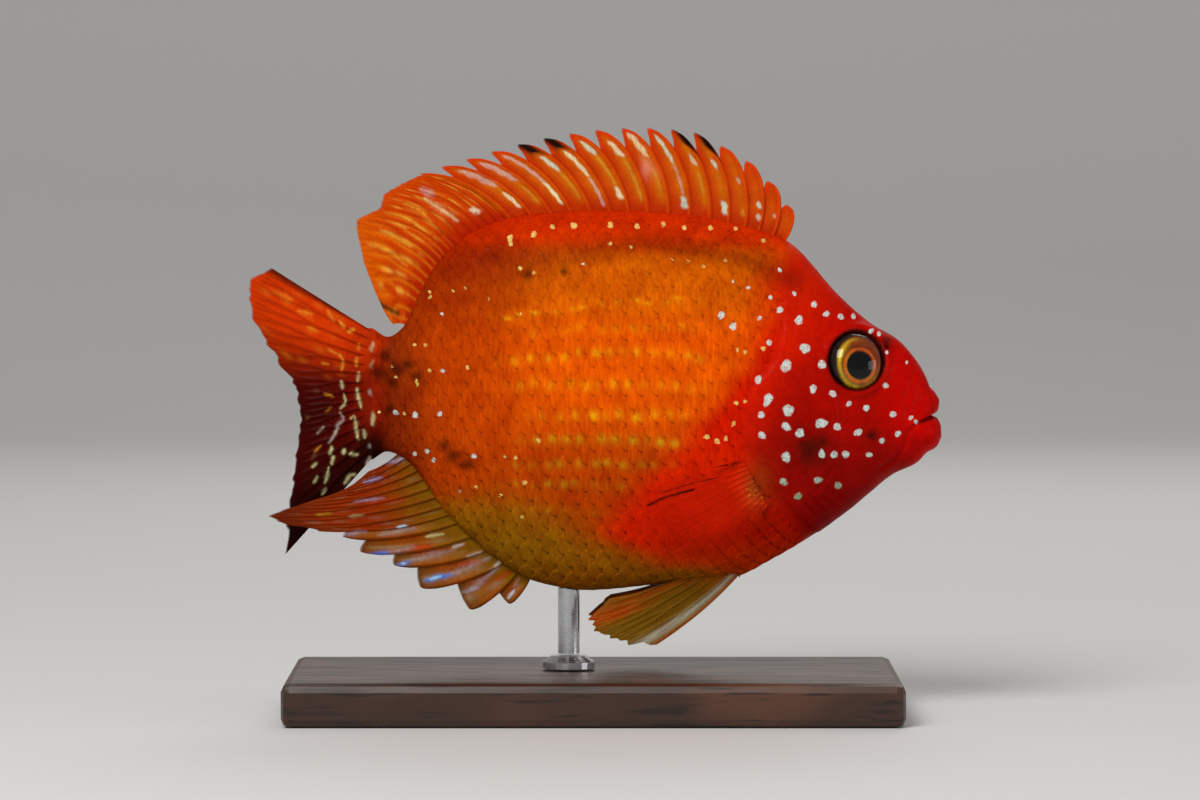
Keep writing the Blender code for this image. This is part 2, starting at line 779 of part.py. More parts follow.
def pectoral_sideways(side):
    """The pectoral fin lies along the flank and lifts off it towards its edge."""
    def sideways(x, z, share):
        near = flank(x, z)
        if share <= 0.0:
            return side * (near + 0.2)
        ease = math.sin(0.5 * math.pi * min(share * 1.6, 1.0))
        off = PECTORAL_STAND_OFF * ease + PECTORAL_LIFT * share * share
        return side * (math.hypot(near, PECTORAL_KEEL * ease) + off)
    return sideways


def make_pectorals():
    top = Vector(PECTORAL_ROOT_TOP)
    low = Vector(PECTORAL_ROOT_LOW)
    columns = soft_columns(PECTORAL_RAYS, lambda share: tuple(top.lerp(low, share)),
                           law(PECTORAL_ANGLE), law(PECTORAL_LENGTH))
    for name, side in (("pectoral_fin_left", 1), ("pectoral_fin_right", -1)):
        make_fin(name, "pectoral_fin", columns, pectoral_sideways(side))


PELVIC_RAYS = 6
PELVIC_FRONT_X = 20.2
PELVIC_REAR_X = 13.6
PELVIC_ROOT_Z = 19.6
PELVIC_ANGLE = ((0, 220), (0.4, 210), (0.7, 204), (1, 197))
PELVIC_LENGTH = ((0, 15.6), (0.35, 18.0), (0.6, 18.4), (0.8, 17.0), (1, 12.0))
PELVIC_Y = 2.6
PELVIC_SPLAY = 0.25
PELVIC_BOW = 8.0


def pelvic_sideways(side):
    """The pelvic fin leaves the belly beside the keel and spreads outwards."""
    def sideways(x, z, share):
        return side * (PELVIC_Y + PELVIC_SPLAY * max(PELVIC_ROOT_Z - z, 0.0))
    return sideways


def make_pelvics():
    def root_of(share):
        return PELVIC_FRONT_X + (PELVIC_REAR_X - PELVIC_FRONT_X) * share, PELVIC_ROOT_Z

    columns = soft_columns(PELVIC_RAYS, root_of, law(PELVIC_ANGLE), law(PELVIC_LENGTH), PELVIC_BOW)
    for name, side in (("pelvic_fin_left", 1), ("pelvic_fin_right", -1)):
        make_fin(name, "pelvic_fin", columns, pelvic_sideways(side))


def make_base():
    bm = bmesh.new()
    bmesh.ops.create_cube(bm, size=1.0)
    bmesh.ops.scale(bm, vec=(BASE_LENGTH, BASE_WIDTH, BASE_THICKNESS), verts=bm.verts[:])
    bmesh.ops.translate(bm, vec=(0.0, 0.0, 0.5 * BASE_THICKNESS), verts=bm.verts[:])
    base = make_object("stand_base", bm, parts)
    bevel = base.modifiers.new("edges", "BEVEL")
    bevel.width = BASE_BEVEL * MM
    bevel.segments = 2
    finish(base, "stand_wood")


def make_collar():
    """Turned foot of the rod: a low rim that slopes up to a flat top."""
    rings = []
    for radius, height in COLLAR_PROFILE:
        turns = [2.0 * math.pi * k / ROD_SIDES for k in range(ROD_SIDES)]
        rings.append([Vector((ROD_X + radius * math.cos(a), radius * math.sin(a),
                              BASE_THICKNESS + GAP + height)) for a in turns])
    finish(make_object("stand_collar", loft(rings), parts), "stand_metal")


def make_rod():
    """Rod from the collar up to GAP under the belly."""
    foot = BASE_THICKNESS + COLLAR_PROFILE[-1][1] + 2.0 * GAP
    height = belly(ROD_X) + SINK - foot
    bm = bmesh.new()
    bmesh.ops.create_cone(bm, cap_ends=True, segments=ROD_SIDES, radius1=ROD_RADIUS,
                          radius2=ROD_RADIUS, depth=height)
    bmesh.ops.translate(bm, vec=(ROD_X, 0.0, foot + 0.5 * height), verts=bm.verts[:])
    rod = make_object("stand_rod", bm, parts)
    boolean(rod, fin_cutter, "DIFFERENCE")
    keep_largest(rod)
    finish(rod, "stand_metal")


def shade(objects):
    for obj in objects:
        obj.data.shade_smooth()
        obj.data.set_sharp_from_angle(angle=math.radians(40))


for old in list(bpy.data.objects):
    bpy.data.objects.remove(old, do_unlink=True)
parts = bpy.data.collections.new("blood_parrot_cichlid")
cutters = bpy.data.collections.new("cutters")
bpy.context.scene.collection.children.link(parts)
bpy.context.scene.collection.children.link(cutters)

fin_cutter = make_cutter("body_and_gap", body_mesh(GAP))
make_head()
make_gill_covers()
make_torso()
make_tail_stem()
make_eyes()
make_spiny_dorsal()
make_soft_dorsal()
make_tail_fin()
make_anal_fin()
make_pectorals()
make_pelvics()
make_base()
make_collar()
make_rod()
discard([fin_cutter])
shade(parts.objects)
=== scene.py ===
# %% [markdown]
# # A pearl-spotted aquarium fish, as a museum model
#
# The real fish is a deep, thin-sided cichlid: wet red skin on the head, orange scales
# on the flanks, pearly dots on the cheek and see-through fins that stand on spines.
# This lesson dresses a plain solid model of it. Each piece is computed from curves that
# say how high, deep and wide the fish is at each place, so that every piece fits.

# %% Load the solids
import math

import bpy
import numpy as np
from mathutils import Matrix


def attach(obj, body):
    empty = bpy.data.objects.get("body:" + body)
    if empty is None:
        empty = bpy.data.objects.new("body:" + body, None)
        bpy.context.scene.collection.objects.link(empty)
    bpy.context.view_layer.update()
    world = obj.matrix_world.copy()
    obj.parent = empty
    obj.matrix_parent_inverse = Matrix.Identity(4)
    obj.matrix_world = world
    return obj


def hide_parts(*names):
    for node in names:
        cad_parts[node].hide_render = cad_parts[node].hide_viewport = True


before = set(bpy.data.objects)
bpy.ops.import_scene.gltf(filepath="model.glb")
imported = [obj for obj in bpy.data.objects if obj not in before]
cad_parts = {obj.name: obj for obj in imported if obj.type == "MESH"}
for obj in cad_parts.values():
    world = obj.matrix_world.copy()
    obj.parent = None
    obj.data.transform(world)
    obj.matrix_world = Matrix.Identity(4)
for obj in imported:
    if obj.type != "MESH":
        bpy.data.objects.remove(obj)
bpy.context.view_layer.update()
MM = 0.001

# %% [markdown]
# ## Curves that never overshoot
#
# A fish's outline is known at a few stations, and it has to be smooth between them.
# A spline through the points would do, but it swings past them where the outline turns
# sharply, at the root of the tail for one. A cubic whose slopes are the harmonic mean
# of its neighbours' slopes stays between its points, so that is what every outline,
# width and fin length here is made with.

# %% Smooth laws


def law(knots):
    """A smooth curve through (place, value) knots that never overshoots them."""
    place, value = np.array(knots, float).T
    step = np.diff(place)
    slope = np.diff(value) / step
    product = slope[:-1] * slope[1:]
    total = np.where(product > 0, slope[:-1] + slope[1:], 1.0)
    inner = np.where(product > 0, 2 * product / total, 0.0)
    tangent = np.concatenate([slope[:1], inner, slope[-1:]])

    def at(x):
        x = np.clip(np.asarray(x, float), place[0], place[-1])
        k = np.clip(np.searchsorted(place, x, side="right") - 1, 0, len(step) - 1)
        t = (x - place[k]) / step[k]
        start = (1 + 2 * t) * (1 - t) ** 2 * value[k] + t * t * (3 - 2 * t) * value[k + 1]
        pull = t * (1 - t) ** 2 * tangent[k] - t * t * (1 - t) * tangent[k + 1]
        return start + step[k] * pull

    return at


def rise(x, low, high):
    """0 below low, 1 above high, with an eased ramp between."""
    t = np.clip((np.asarray(x, float) - low) / (high - low), 0, 1)
    return t * t * (3 - 2 * t)


def bump(distance, width):
    """A bell of height 1 and the given width."""
    return np.exp(-(distance / width) ** 2)


REAR, FRONT = -30.4, 46.7
back = law(((-30.4, 53.1), (-28.2, 51.9), (-26.2, 53.2), (-24.2, 57.4), (-21.4, 62.2),
            (-16.6, 66.3), (-9.0, 68.8), (2.0, 69.3), (12.6, 68.8), (22.6, 66.6),
            (26.4, 65.2), (34.1, 57.2), (38.5, 53.5), (41.6, 51.7), (44.2, 48.9),
            (46.0, 45.6), (46.7, 42.0)))
belly = law(((-30.4, 35.0), (-28.4, 36.1), (-26.6, 35.5), (-19.1, 26.4), (-11.6, 20.1),
             (-7.6, 18.1), (-1.0, 17.0), (8.5, 17.8), (19.5, 18.9), (24.2, 21.1),
             (33.6, 26.9), (37.6, 30.1), (41.2, 33.0), (44.5, 34.6), (46.2, 36.9),
             (46.7, 39.8)))
half_width = law(((-30.4, 1.5), (-27.0, 2.9), (-22.0, 4.4), (-15.0, 6.4), (-6.0, 8.4),
                  (4.0, 9.6), (14.0, 9.9), (22.0, 9.6), (30.0, 8.7), (36.0, 7.4),
                  (41.0, 5.7), (44.5, 4.4), (46.2, 3.0), (46.7, 1.5)))
widest = law(((-30.4, 0.5), (0.0, 0.47), (24.0, 0.44), (36.0, 0.40), (46.7, 0.5)))
back_power = law(((-30.4, 1.0), (10.0, 1.12), (26.0, 1.0), (36.0, 0.78), (46.7, 0.85)))
belly_power = law(((-30.4, 1.0), (0.0, 0.9), (30.0, 0.85), (46.7, 0.9)))


def middle(x):
    """Height at which the body is widest."""
    return belly(x) + widest(x) * (back(x) - belly(x))


def flank(x, z):
    """Half the body's thickness at a station and a height."""
    level = middle(x)
    over = z > level
    share = np.where(over, (z - level) / (back(x) - level), (level - z) / (level - belly(x)))
    power = np.where(over, back_power(x), belly_power(x))
    return half_width(x) * (1 - np.clip(share, 0, 1) ** 2) ** (0.5 * power)


print("body is", round(float(2 * half_width(14.0)), 1), "mm thick at its widest")

# %% [markdown]
# ## Distances to drawn lines
#
# Folds, the gill opening and wavy marks all follow lines on the side of the fish. Each
# line is a short list of points in millimetres, along and up. The distance from every
# point of a mesh to such a line tells where to press a fold or lay a colour.

# %% Lines on the side of the fish


def smooth_line(points, per_span=8):
    """A rounded line through the points."""
    spots = np.array(points, float)
    spots = np.vstack([2 * spots[0] - spots[1], spots, 2 * spots[-1] - spots[-2]])
    t = (np.arange(per_span) / per_span)[:, None]
    line = []
    for a, b, c, d in zip(spots, spots[1:], spots[2:], spots[3:]):
        line.append(0.5 * (2 * b + (c - a) * t + (2 * a - 5 * b + 4 * c - d) * t ** 2
                           + (3 * b - a - 3 * c + d) * t ** 3))
    return np.vstack(line + [spots[-2:-1]])


def line_distance(x, z, line):
    """Distance to a line, and on which side of it: positive to the left of its run."""
    best = np.full(np.shape(x), 1e9)
    side = np.ones(np.shape(x))
    for (ax, az), (bx, bz) in zip(line, line[1:]):
        dx, dz = bx - ax, bz - az
        t = np.clip(((x - ax) * dx + (z - az) * dz) / (dx * dx + dz * dz), 0, 1)
        gap = np.hypot(x - ax - t * dx, z - az - t * dz)
        closer = gap < best
        best = np.where(closer, gap, best)
        side = np.where(closer, np.sign(dx * (z - az) - dz * (x - ax)), side)
    return best, side


gill_line = smooth_line(((25.2, 72.0), (25.9, 58.0), (25.4, 50.0), (22.1, 45.1), (21.3, 40.8),
                         (22.1, 36.4), (24.6, 32.0), (27.8, 27.8), (32.0, 23.6), (37.0, 16.0)))


def behind_gill(x, z):
    """Distance behind the gill opening, negative on the head."""
    gap, side = line_distance(x, z, gill_line)
    return -gap * side


print("gill opening drawn with", len(gill_line), "points")

# %% [markdown]
# ## Painting with colours
#
# A fish is painted in layers: a ground colour, patches over it and small ragged marks on
# top. An image editor does that on a flat picture. Here every point of a mesh carries its
# own colour, so a layer is a mask, a number from 0 to 1 at each point, and a colour. The
# noise that makes edges ragged comes from a small seeded table, so it never changes.

# %% Colours and marks


def srgb(red, green, blue):
    """A colour as a screen shows it, from 0 to 255, turned into linear light."""
    c = np.array((red, green, blue), float) / 255
    return np.where(c <= 0.04045, c / 12.92, ((c + 0.055) / 1.055) ** 2.4)


def noise(x, z, seed, size):
    """Smooth random values from -1 to 1 over the plane, the same on each run."""
    table = np.random.default_rng(seed).uniform(-1, 1, (64, 64))
    u, v = np.asarray(x) / size + 500.0, np.asarray(z) / size + 500.0
    i, j = np.floor(u).astype(int), np.floor(v).astype(int)
    s, t = u - i, v - j
    s, t = s * s * (3 - 2 * s), t * t * (3 - 2 * t)
    low = table[i % 64, j % 64] * (1 - s) + table[(i + 1) % 64, j % 64] * s
    high = table[i % 64, (j + 1) % 64] * (1 - s) + table[(i + 1) % 64, (j + 1) % 64] * s
    return low * (1 - t) + high * t


def blend_in(colour, share, tone):
    """A colour laid over another by a mask."""
    return colour * (1 - share[..., None]) + tone * share[..., None]


def plain(like, *tone):
    """One tone, as a screen shows it, on every point of an array."""
    return np.zeros(np.shape(like) + (3,)) + srgb(*tone)


def layered(colour, *layers):
    """A colour under layers, each a mask and a tone as a screen shows it."""
    for share, tone in layers:
        colour = blend_in(colour, share, srgb(*tone))
    return colour


def strokes(colour, x, z, marks):
    """Marks of (along and up of each point, width, strength, tone): ragged, lighter inside."""
    for *path, width, strength, tone in marks:
        points = np.reshape(path, (-1, 2))
        line = smooth_line(points, 4) if len(points) > 2 else points
        gap, _ = line_distance(x, z, line)
        centre, half_long = (line[0] + line[-1]) / 2, 0.5 * np.hypot(*(line[-1] - line[0])) + 0.3
        away = np.minimum(np.hypot(x - centre[0], z - centre[1]) / half_long, 1)
        wide = width * (1.12 - 0.6 * away ** 2) * (1 + 0.4 * noise(x, z, 15, 0.35))
        part = strength * (0.72 + 0.28 * noise(x, z, 16, 0.4)) * (1 - 0.35 * away ** 2)
        colour = blend_in(colour, part * bump(gap, wide), tone)
        colour = blend_in(colour, 0.4 * part * bump(gap, 0.45 * wide), np.minimum(1.5 * tone, 1))
    return colour


print("red of the snout in linear light:", np.round(srgb(185, 16, 2), 3))

# %% [markdown]
# ## Meshes from grids
#
# Every shape here is a grid of points bent in space, either a tube that closes on
# itself or a thin plate with two faces and a rim. Blender could thicken a sheet with
# its Solidify modifier, but rays and spines are thickness that changes from place to
# place, so the two faces are computed straight away. Colours are kept on the points.

# %% Make a mesh


def make_piece(name, points, faces, bake_uv, material, colours=None, masks=None, sharp=None):
    """A piece in metres from points in millimetres, with its point colours and masks."""
    mesh = bpy.data.meshes.new(name)
    mesh.from_pydata((points * MM).tolist(), [], faces)
    corners = np.zeros(len(mesh.loops), int)
    mesh.loops.foreach_get("vertex_index", corners)
    uv = bake_uv if len(bake_uv) == len(corners) else bake_uv[corners]
    layer = mesh.uv_layers.new(name="OFBake")
    layer.data.foreach_set("uv", uv.astype(np.float32).ravel())
    if colours is not None:
        rgba = np.column_stack([colours, np.ones(len(points))]).astype(np.float32)
        attribute = mesh.attributes.new("tint", "FLOAT_COLOR", "POINT")
        attribute.data.foreach_set("color", rgba.ravel())
    for label, values in (masks or {}).items():
        attribute = mesh.attributes.new(label, "FLOAT", "POINT")
        attribute.data.foreach_set("value", np.asarray(values, np.float32).ravel())
    mesh.shade_smooth()
    if sharp is not None:
        mesh.set_sharp_from_angle(angle=math.radians(sharp))
    mesh.materials.append(material)
    obj = bpy.data.objects.new(name, mesh)
    bpy.context.scene.collection.objects.link(obj)
    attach(obj, "root")
    return obj


print("pieces are made in millimetres, one of them is", MM, "m")

# %% [markdown]
# ## Sheets with two faces
#
# Scales and fins are sheets, thicker in one place than in another. A single surface has
# no back and no edge, and it prints badly. So every sheet is closed: its two faces lie
# half the thickness to either side of the middle points, and a rim joins them all round.

# %% Closed sheets


def unit(vectors):
    """Directions scaled to length 1."""
    return vectors / np.maximum(np.linalg.norm(vectors, axis=-1, keepdims=True), 1e-9)


def grid_faces(index):
    """Four-cornered faces of a grid, from the numbers of its points."""
    quad = [index[:-1, :-1], index[1:, :-1], index[1:, 1:], index[:-1, 1:]]
    return np.stack(quad, -1).reshape(-1, 4)


def plate(points, thick):
    """Both faces and the rim of a thin plate over a grid of middle points."""
    rows, columns = thick.shape
    normal = unit(np.cross(np.gradient(points, axis=0), np.gradient(points, axis=1)))
    half = 0.5 * thick[..., None] * normal
    shell = np.concatenate([(points + half).reshape(-1, 3), (points - half).reshape(-1, 3)])
    count = rows * columns
    index = np.arange(count).reshape(rows, columns)
    loop = np.concatenate([index[:-1, 0], index[-1, :-1], index[:0:-1, -1], index[0, :0:-1]])
    after = np.roll(loop, -1)
    rim = np.stack([loop, loop + count, after + count, after], -1)
    top = grid_faces(index)
    faces = np.concatenate([top, top[:, ::-1] + count, rim])
    return shell, faces


square = np.dstack([*np.mgrid[0:3.0, 0:3.0], np.zeros((3, 3))])
print("a plate of 3 by 3 points has", len(plate(square, np.ones((3, 3)))[1]), "faces")

# %% [markdown]
# ## Shader building blocks
#
# A finish is a small network of nodes. Nodes can be placed by hand in the editor, but a
# script that builds them can be read and changed. Three effects come back in several
# finishes: uneven pigment, pearly dots with a soft border, and the grain of skin. Each is
# built once as a node group with named inputs, and is then placed wherever it is needed.

# %% Node helpers


def add_node(tree, kind, inputs=None, **settings):
    """A node with its settings, and its inputs given as values or as sockets to link."""
    node = tree.nodes.new(kind)
    for name, value in settings.items():
        setattr(node, name, value)
    for key, value in (inputs or {}).items():
        if isinstance(value, bpy.types.NodeSocket):
            tree.links.new(value, node.inputs[key])
        else:
            node.inputs[key].default_value = value
    return node


def maths(tree, operation, *values):
    """One sum on values or sockets."""
    return add_node(tree, "ShaderNodeMath", dict(enumerate(values)), operation=operation).outputs[0]


def blend_colour(tree, share, low, high, how="MIX"):
    """Two colours mixed by a share from 0 to 1."""
    inputs = {0: share, 6: low, 7: high}
    return add_node(tree, "ShaderNodeMix", inputs, data_type="RGBA", blend_type=how).outputs[2]


def ramp(tree, value, low, high, to_low=0.0, to_high=1.0):
    """Value from low to high turned into to_low to to_high, and held there beyond."""
    inputs = {0: value, 1: low, 2: high, 3: to_low, 4: to_high}
    return add_node(tree, "ShaderNodeMapRange", inputs, interpolation_type="SMOOTHSTEP").outputs[0]


def own_place(tree):
    """Where each point lies in its piece's own frame, in metres."""
    return add_node(tree, "ShaderNodeTexCoord").outputs["Object"]


def mottle(tree, place, scale, detail):
    """Cloudy noise from 0 to 1."""
    inputs = {"Vector": place, "Scale": scale, "Detail": detail}
    return add_node(tree, "ShaderNodeTexNoise", inputs).outputs["Fac"]


def new_group(name, inputs, outputs):
    """An empty node group with named inputs and outputs."""
    group = bpy.data.node_groups.new(name, "ShaderNodeTree")
    for label, kind, value in inputs:
        socket = group.interface.new_socket(label, in_out="INPUT", socket_type=kind)
        if value is not None:
            socket.default_value = value
    for label, kind in outputs:
        group.interface.new_socket(label, in_out="OUTPUT", socket_type=kind)
    start = group.nodes.new("NodeGroupInput")
    end = group.nodes.new("NodeGroupOutput")
    return group, start.outputs, end.inputs


COLOUR, NUMBER = "NodeSocketColor", "NodeSocketFloat"
print("groups carry", COLOUR, "and", NUMBER)

# %% [markdown]
# ## Uneven pigment
#
# Skin, fin web and wood are never one flat colour: they are mottled in soft patches and
# again in fine grains. Colours kept on the points of a mesh are too coarse for that. Two
# noises lighten and darken the colour that comes in, and the finer one can be stretched
# upright. Green changes most, so the dark parts are also redder.

# %% Group: uneven pigment
pigment, given, out = new_group("uneven_pigment", [
    ("Colour", COLOUR, (1, 1, 1, 1)), ("Patch size", NUMBER, 400.0), ("Grain size", NUMBER, 2600.0),
    ("Upright", NUMBER, 1.0), ("Strength", NUMBER, 0.2)], [("Colour", COLOUR), ("Grain", NUMBER)])
place = own_place(pigment)
axes = add_node(pigment, "ShaderNodeSeparateXYZ", {0: place}).outputs
squeezed = maths(pigment, "DIVIDE", axes["Z"], given["Upright"])
stretched = add_node(pigment, "ShaderNodeCombineXYZ", {0: axes["X"], 1: axes["Y"], 2: squeezed})
patches = mottle(pigment, place, given["Patch size"], 3.0)
grains = mottle(pigment, stretched.outputs[0], given["Grain size"], 2.0)
both = maths(pigment, "ADD", patches, grains)
swing = maths(pigment, "MULTIPLY", maths(pigment, "SUBTRACT", both, 1.0), given["Strength"])
level = maths(pigment, "ADD", maths(pigment, "MULTIPLY", swing, 2.0), 1.0)
redder = maths(pigment, "POWER", level, 1.8)
shade = add_node(pigment, "ShaderNodeCombineColor", {0: level, 1: redder, 2: level}).outputs[0]
pigment.links.new(blend_colour(pigment, 1.0, given["Colour"], shade, "MULTIPLY"), out["Colour"])
pigment.links.new(grains, out["Grain"])
print("uneven_pigment has", len(pigment.nodes), "nodes")

# %% [markdown]
# ## Pearly dots
#
# The dots on the cheek are cells full of tiny crystals, bright in the middle and worn at
# the edge. Discs laid on the skin would stand off it. Here every point of the mesh knows
# how deep it lies inside a dot, noise frays that number, and a ramp turns it into a mask.

# %% Group: pearly dots
pearls, given, out = new_group("pearly_dots", [
    ("Field", NUMBER, 0.0), ("Under", COLOUR, (1, 0, 0, 1)), ("Pearl", COLOUR, (1, 1, 1, 1)),
    ("Ragged", NUMBER, 0.3)], [("Colour", COLOUR), ("Mask", NUMBER)])
place = own_place(pearls)
wobble = mottle(pearls, place, 2200.0, 2.0)
push = maths(pearls, "MULTIPLY", maths(pearls, "SUBTRACT", wobble, 0.5), given["Ragged"])
field = maths(pearls, "ADD", given["Field"], push)
mask = ramp(pearls, field, -0.02, 0.16)
speck = mottle(pearls, place, 4200.0, 2.0)
worn = maths(pearls, "MULTIPLY", mask, ramp(pearls, speck, 0.34, 0.56, 0.4, 1.0))
worn = maths(pearls, "MULTIPLY", worn, ramp(pearls, field, 0.05, 0.6, 0.72, 1.0))
pearls.links.new(blend_colour(pearls, worn, given["Under"], given["Pearl"]), out["Colour"])
pearls.links.new(mask, out["Mask"])
print("pearly_dots has", len(pearls.nodes), "nodes")

# %% [markdown]
# ## Grain of skin
#
# Wet skin isn't polished. It has shallow cells with a finer ripple over them, and the
# shine breaks up on both. Sculpting them would take millions of faces, so they are a
# height that bends the light only: a cell pattern with noise at twice its scale.

# %% Group: grain of skin
grain, given, out = new_group("skin_grain", [
    ("Size", NUMBER, 1500.0), ("Fine share", NUMBER, 0.4)], [("Height", NUMBER)])
place = own_place(grain)
cells = add_node(grain, "ShaderNodeTexVoronoi", {"Vector": place, "Scale": given["Size"]})
finer = maths(grain, "MULTIPLY", given["Size"], 2.0)
fine = maths(grain, "MULTIPLY", mottle(grain, place, finer, 3.0), given["Fine share"])
grain.links.new(maths(grain, "ADD", cells.outputs["Distance"], fine), out["Height"])
print("skin_grain has", len(grain.nodes), "nodes")

# %% [markdown]
# ## Starting a material
#
# Every finish ends in the Principled shader, which stays in its own material. Numbers
# that are the same all over, such as the strength of the coat, are set on its sockets.
# What changes over the surface comes from groups, and from values kept on the mesh.

# %% Start a material


def start_material(name, **constants):
    """A material with its Principled shader's plain numbers set."""
    material = bpy.data.materials.new(name)
    material.use_nodes = True
    tree = material.node_tree
    shader = tree.nodes["Principled BSDF"]
    for label, value in constants.items():
        shader.inputs[label.replace("_", " ")].default_value = value
    return material, tree, shader.inputs


def attribute(tree, name, output="Fac"):
    """A value or colour kept on the points of the mesh."""
    return add_node(tree, "ShaderNodeAttribute", attribute_name=name).outputs[output]


def use_group(tree, group, **inputs):
    """A shared group placed in a material, with its own values."""
    node = add_node(tree, "ShaderNodeGroup")
    node.node_tree = group
    for label, value in inputs.items():
        socket = node.inputs[label.replace("_", " ")]
        if isinstance(value, bpy.types.NodeSocket):
            tree.links.new(value, socket)
        else:
            socket.default_value = value
    return node.outputs


def emboss(tree, height, strength, depth):
    """A normal that raises the surface by a height pattern, depth in millimetres."""
    inputs = {"Height": height, "Strength": strength, "Distance": depth * MM}
    return add_node(tree, "ShaderNodeBump", inputs).outputs["Normal"]


print(len(bpy.data.node_groups), "effects are ready to be placed in materials")

# %% [markdown]
# ## The fish's colours
#
# The flank is orange, deep red on the head and breast, brown towards the tail and olive
# at the belly, all shading into each other. Painting an image would tie the colours to
# one view. Here each region has one named colour with a centre and a reach, and every
# point takes the mixture of the regions around it, on both sides of the fish alike.

# %% Regions of colour
ORANGE_REGIONS = {
    "back": (2, 66.8, 26, 2.0, (200, 42, 1)),
    "upper flank": (2, 59, 18, 4, (202, 87, 2)),
    "mid flank": (3, 47, 15, 8, (226, 82, 2)),
    "lower flank": (2, 33, 12, 6, (182, 57, 2)),
    "hind flank": (-17, 46, 7, 9, (184, 60, 2)),
    "hind back": (-17, 60.5, 8, 5, (136, 13, 1)),
    "stem": (-28, 44, 4, 10, (122, 34, 5)),
    "olive belly": (-11, 24, 7, 4.5, (142, 92, 8)),
    "keel": (3, 19, 10, 3.2, (154, 88, 8)),
}
RED_REGIONS = {
    "nape": (27, 60, 7, 6, (204, 28, 1)),
    "shoulder": (22, 48, 4.5, 8, (205, 24, 1)),
    "forehead": (36, 54, 5, 4, (181, 8, 1)),
    "snout": (44.5, 43, 3.5, 5, (190, 6, 1)),
    "cheek": (34, 43.5, 5, 5, (168, 10, 1)),
    "gill cover": (27, 38, 4, 7, (143, 7, 1)),
    "lower cheek": (37, 34.5, 4, 3.5, (146, 7, 2)),
    "throat": (34, 28.5, 4, 3, (129, 4, 1)),
    "upper breast": (14, 31, 6, 4, (216, 34, 1)),
    "breast": (20, 26, 5, 4, (172, 19, 1)),
    "low breast": (20, 20, 6, 3, (200, 50, 2)),
    "root of pelvic fin": (15.5, 18.8, 4.5, 1.3, (150, 112, 14)),
}
red_starts = law(((20, 8.5), (22, 7.0), (26, 2.5), (33, 7.5), (41, 15.0), (48, 20.0), (59, 24.0),
                  (66, 27.0)))


def mixture(x, z, regions):
    """The colour of each point as the weighted mean of the regions around it."""
    total = np.zeros(np.shape(x) + (1,))
    colour = np.zeros(np.shape(x) + (3,))
    for along, up, reach_along, reach_up, tone in regions.values():
        weight = np.exp(-((x - along) / reach_along) ** 2 - ((z - up) / reach_up) ** 2) + 1e-7
        total += weight[..., None]
        colour += weight[..., None] * srgb(*tone)
    return colour / total


print(len(ORANGE_REGIONS) + len(RED_REGIONS), "regions of colour")

# %% [markdown]
# ## Pale marks where the tail begins
#
# The tail is a dark red fan, bright at its top edge, with wavy rows of cream and yellow
# dashes over its root. Random dashes would never line up into such waves, so each one is
# a short line with a width, a strength and a tone. They are needed now already, because
# the skin of the body runs on into the root of the fin.

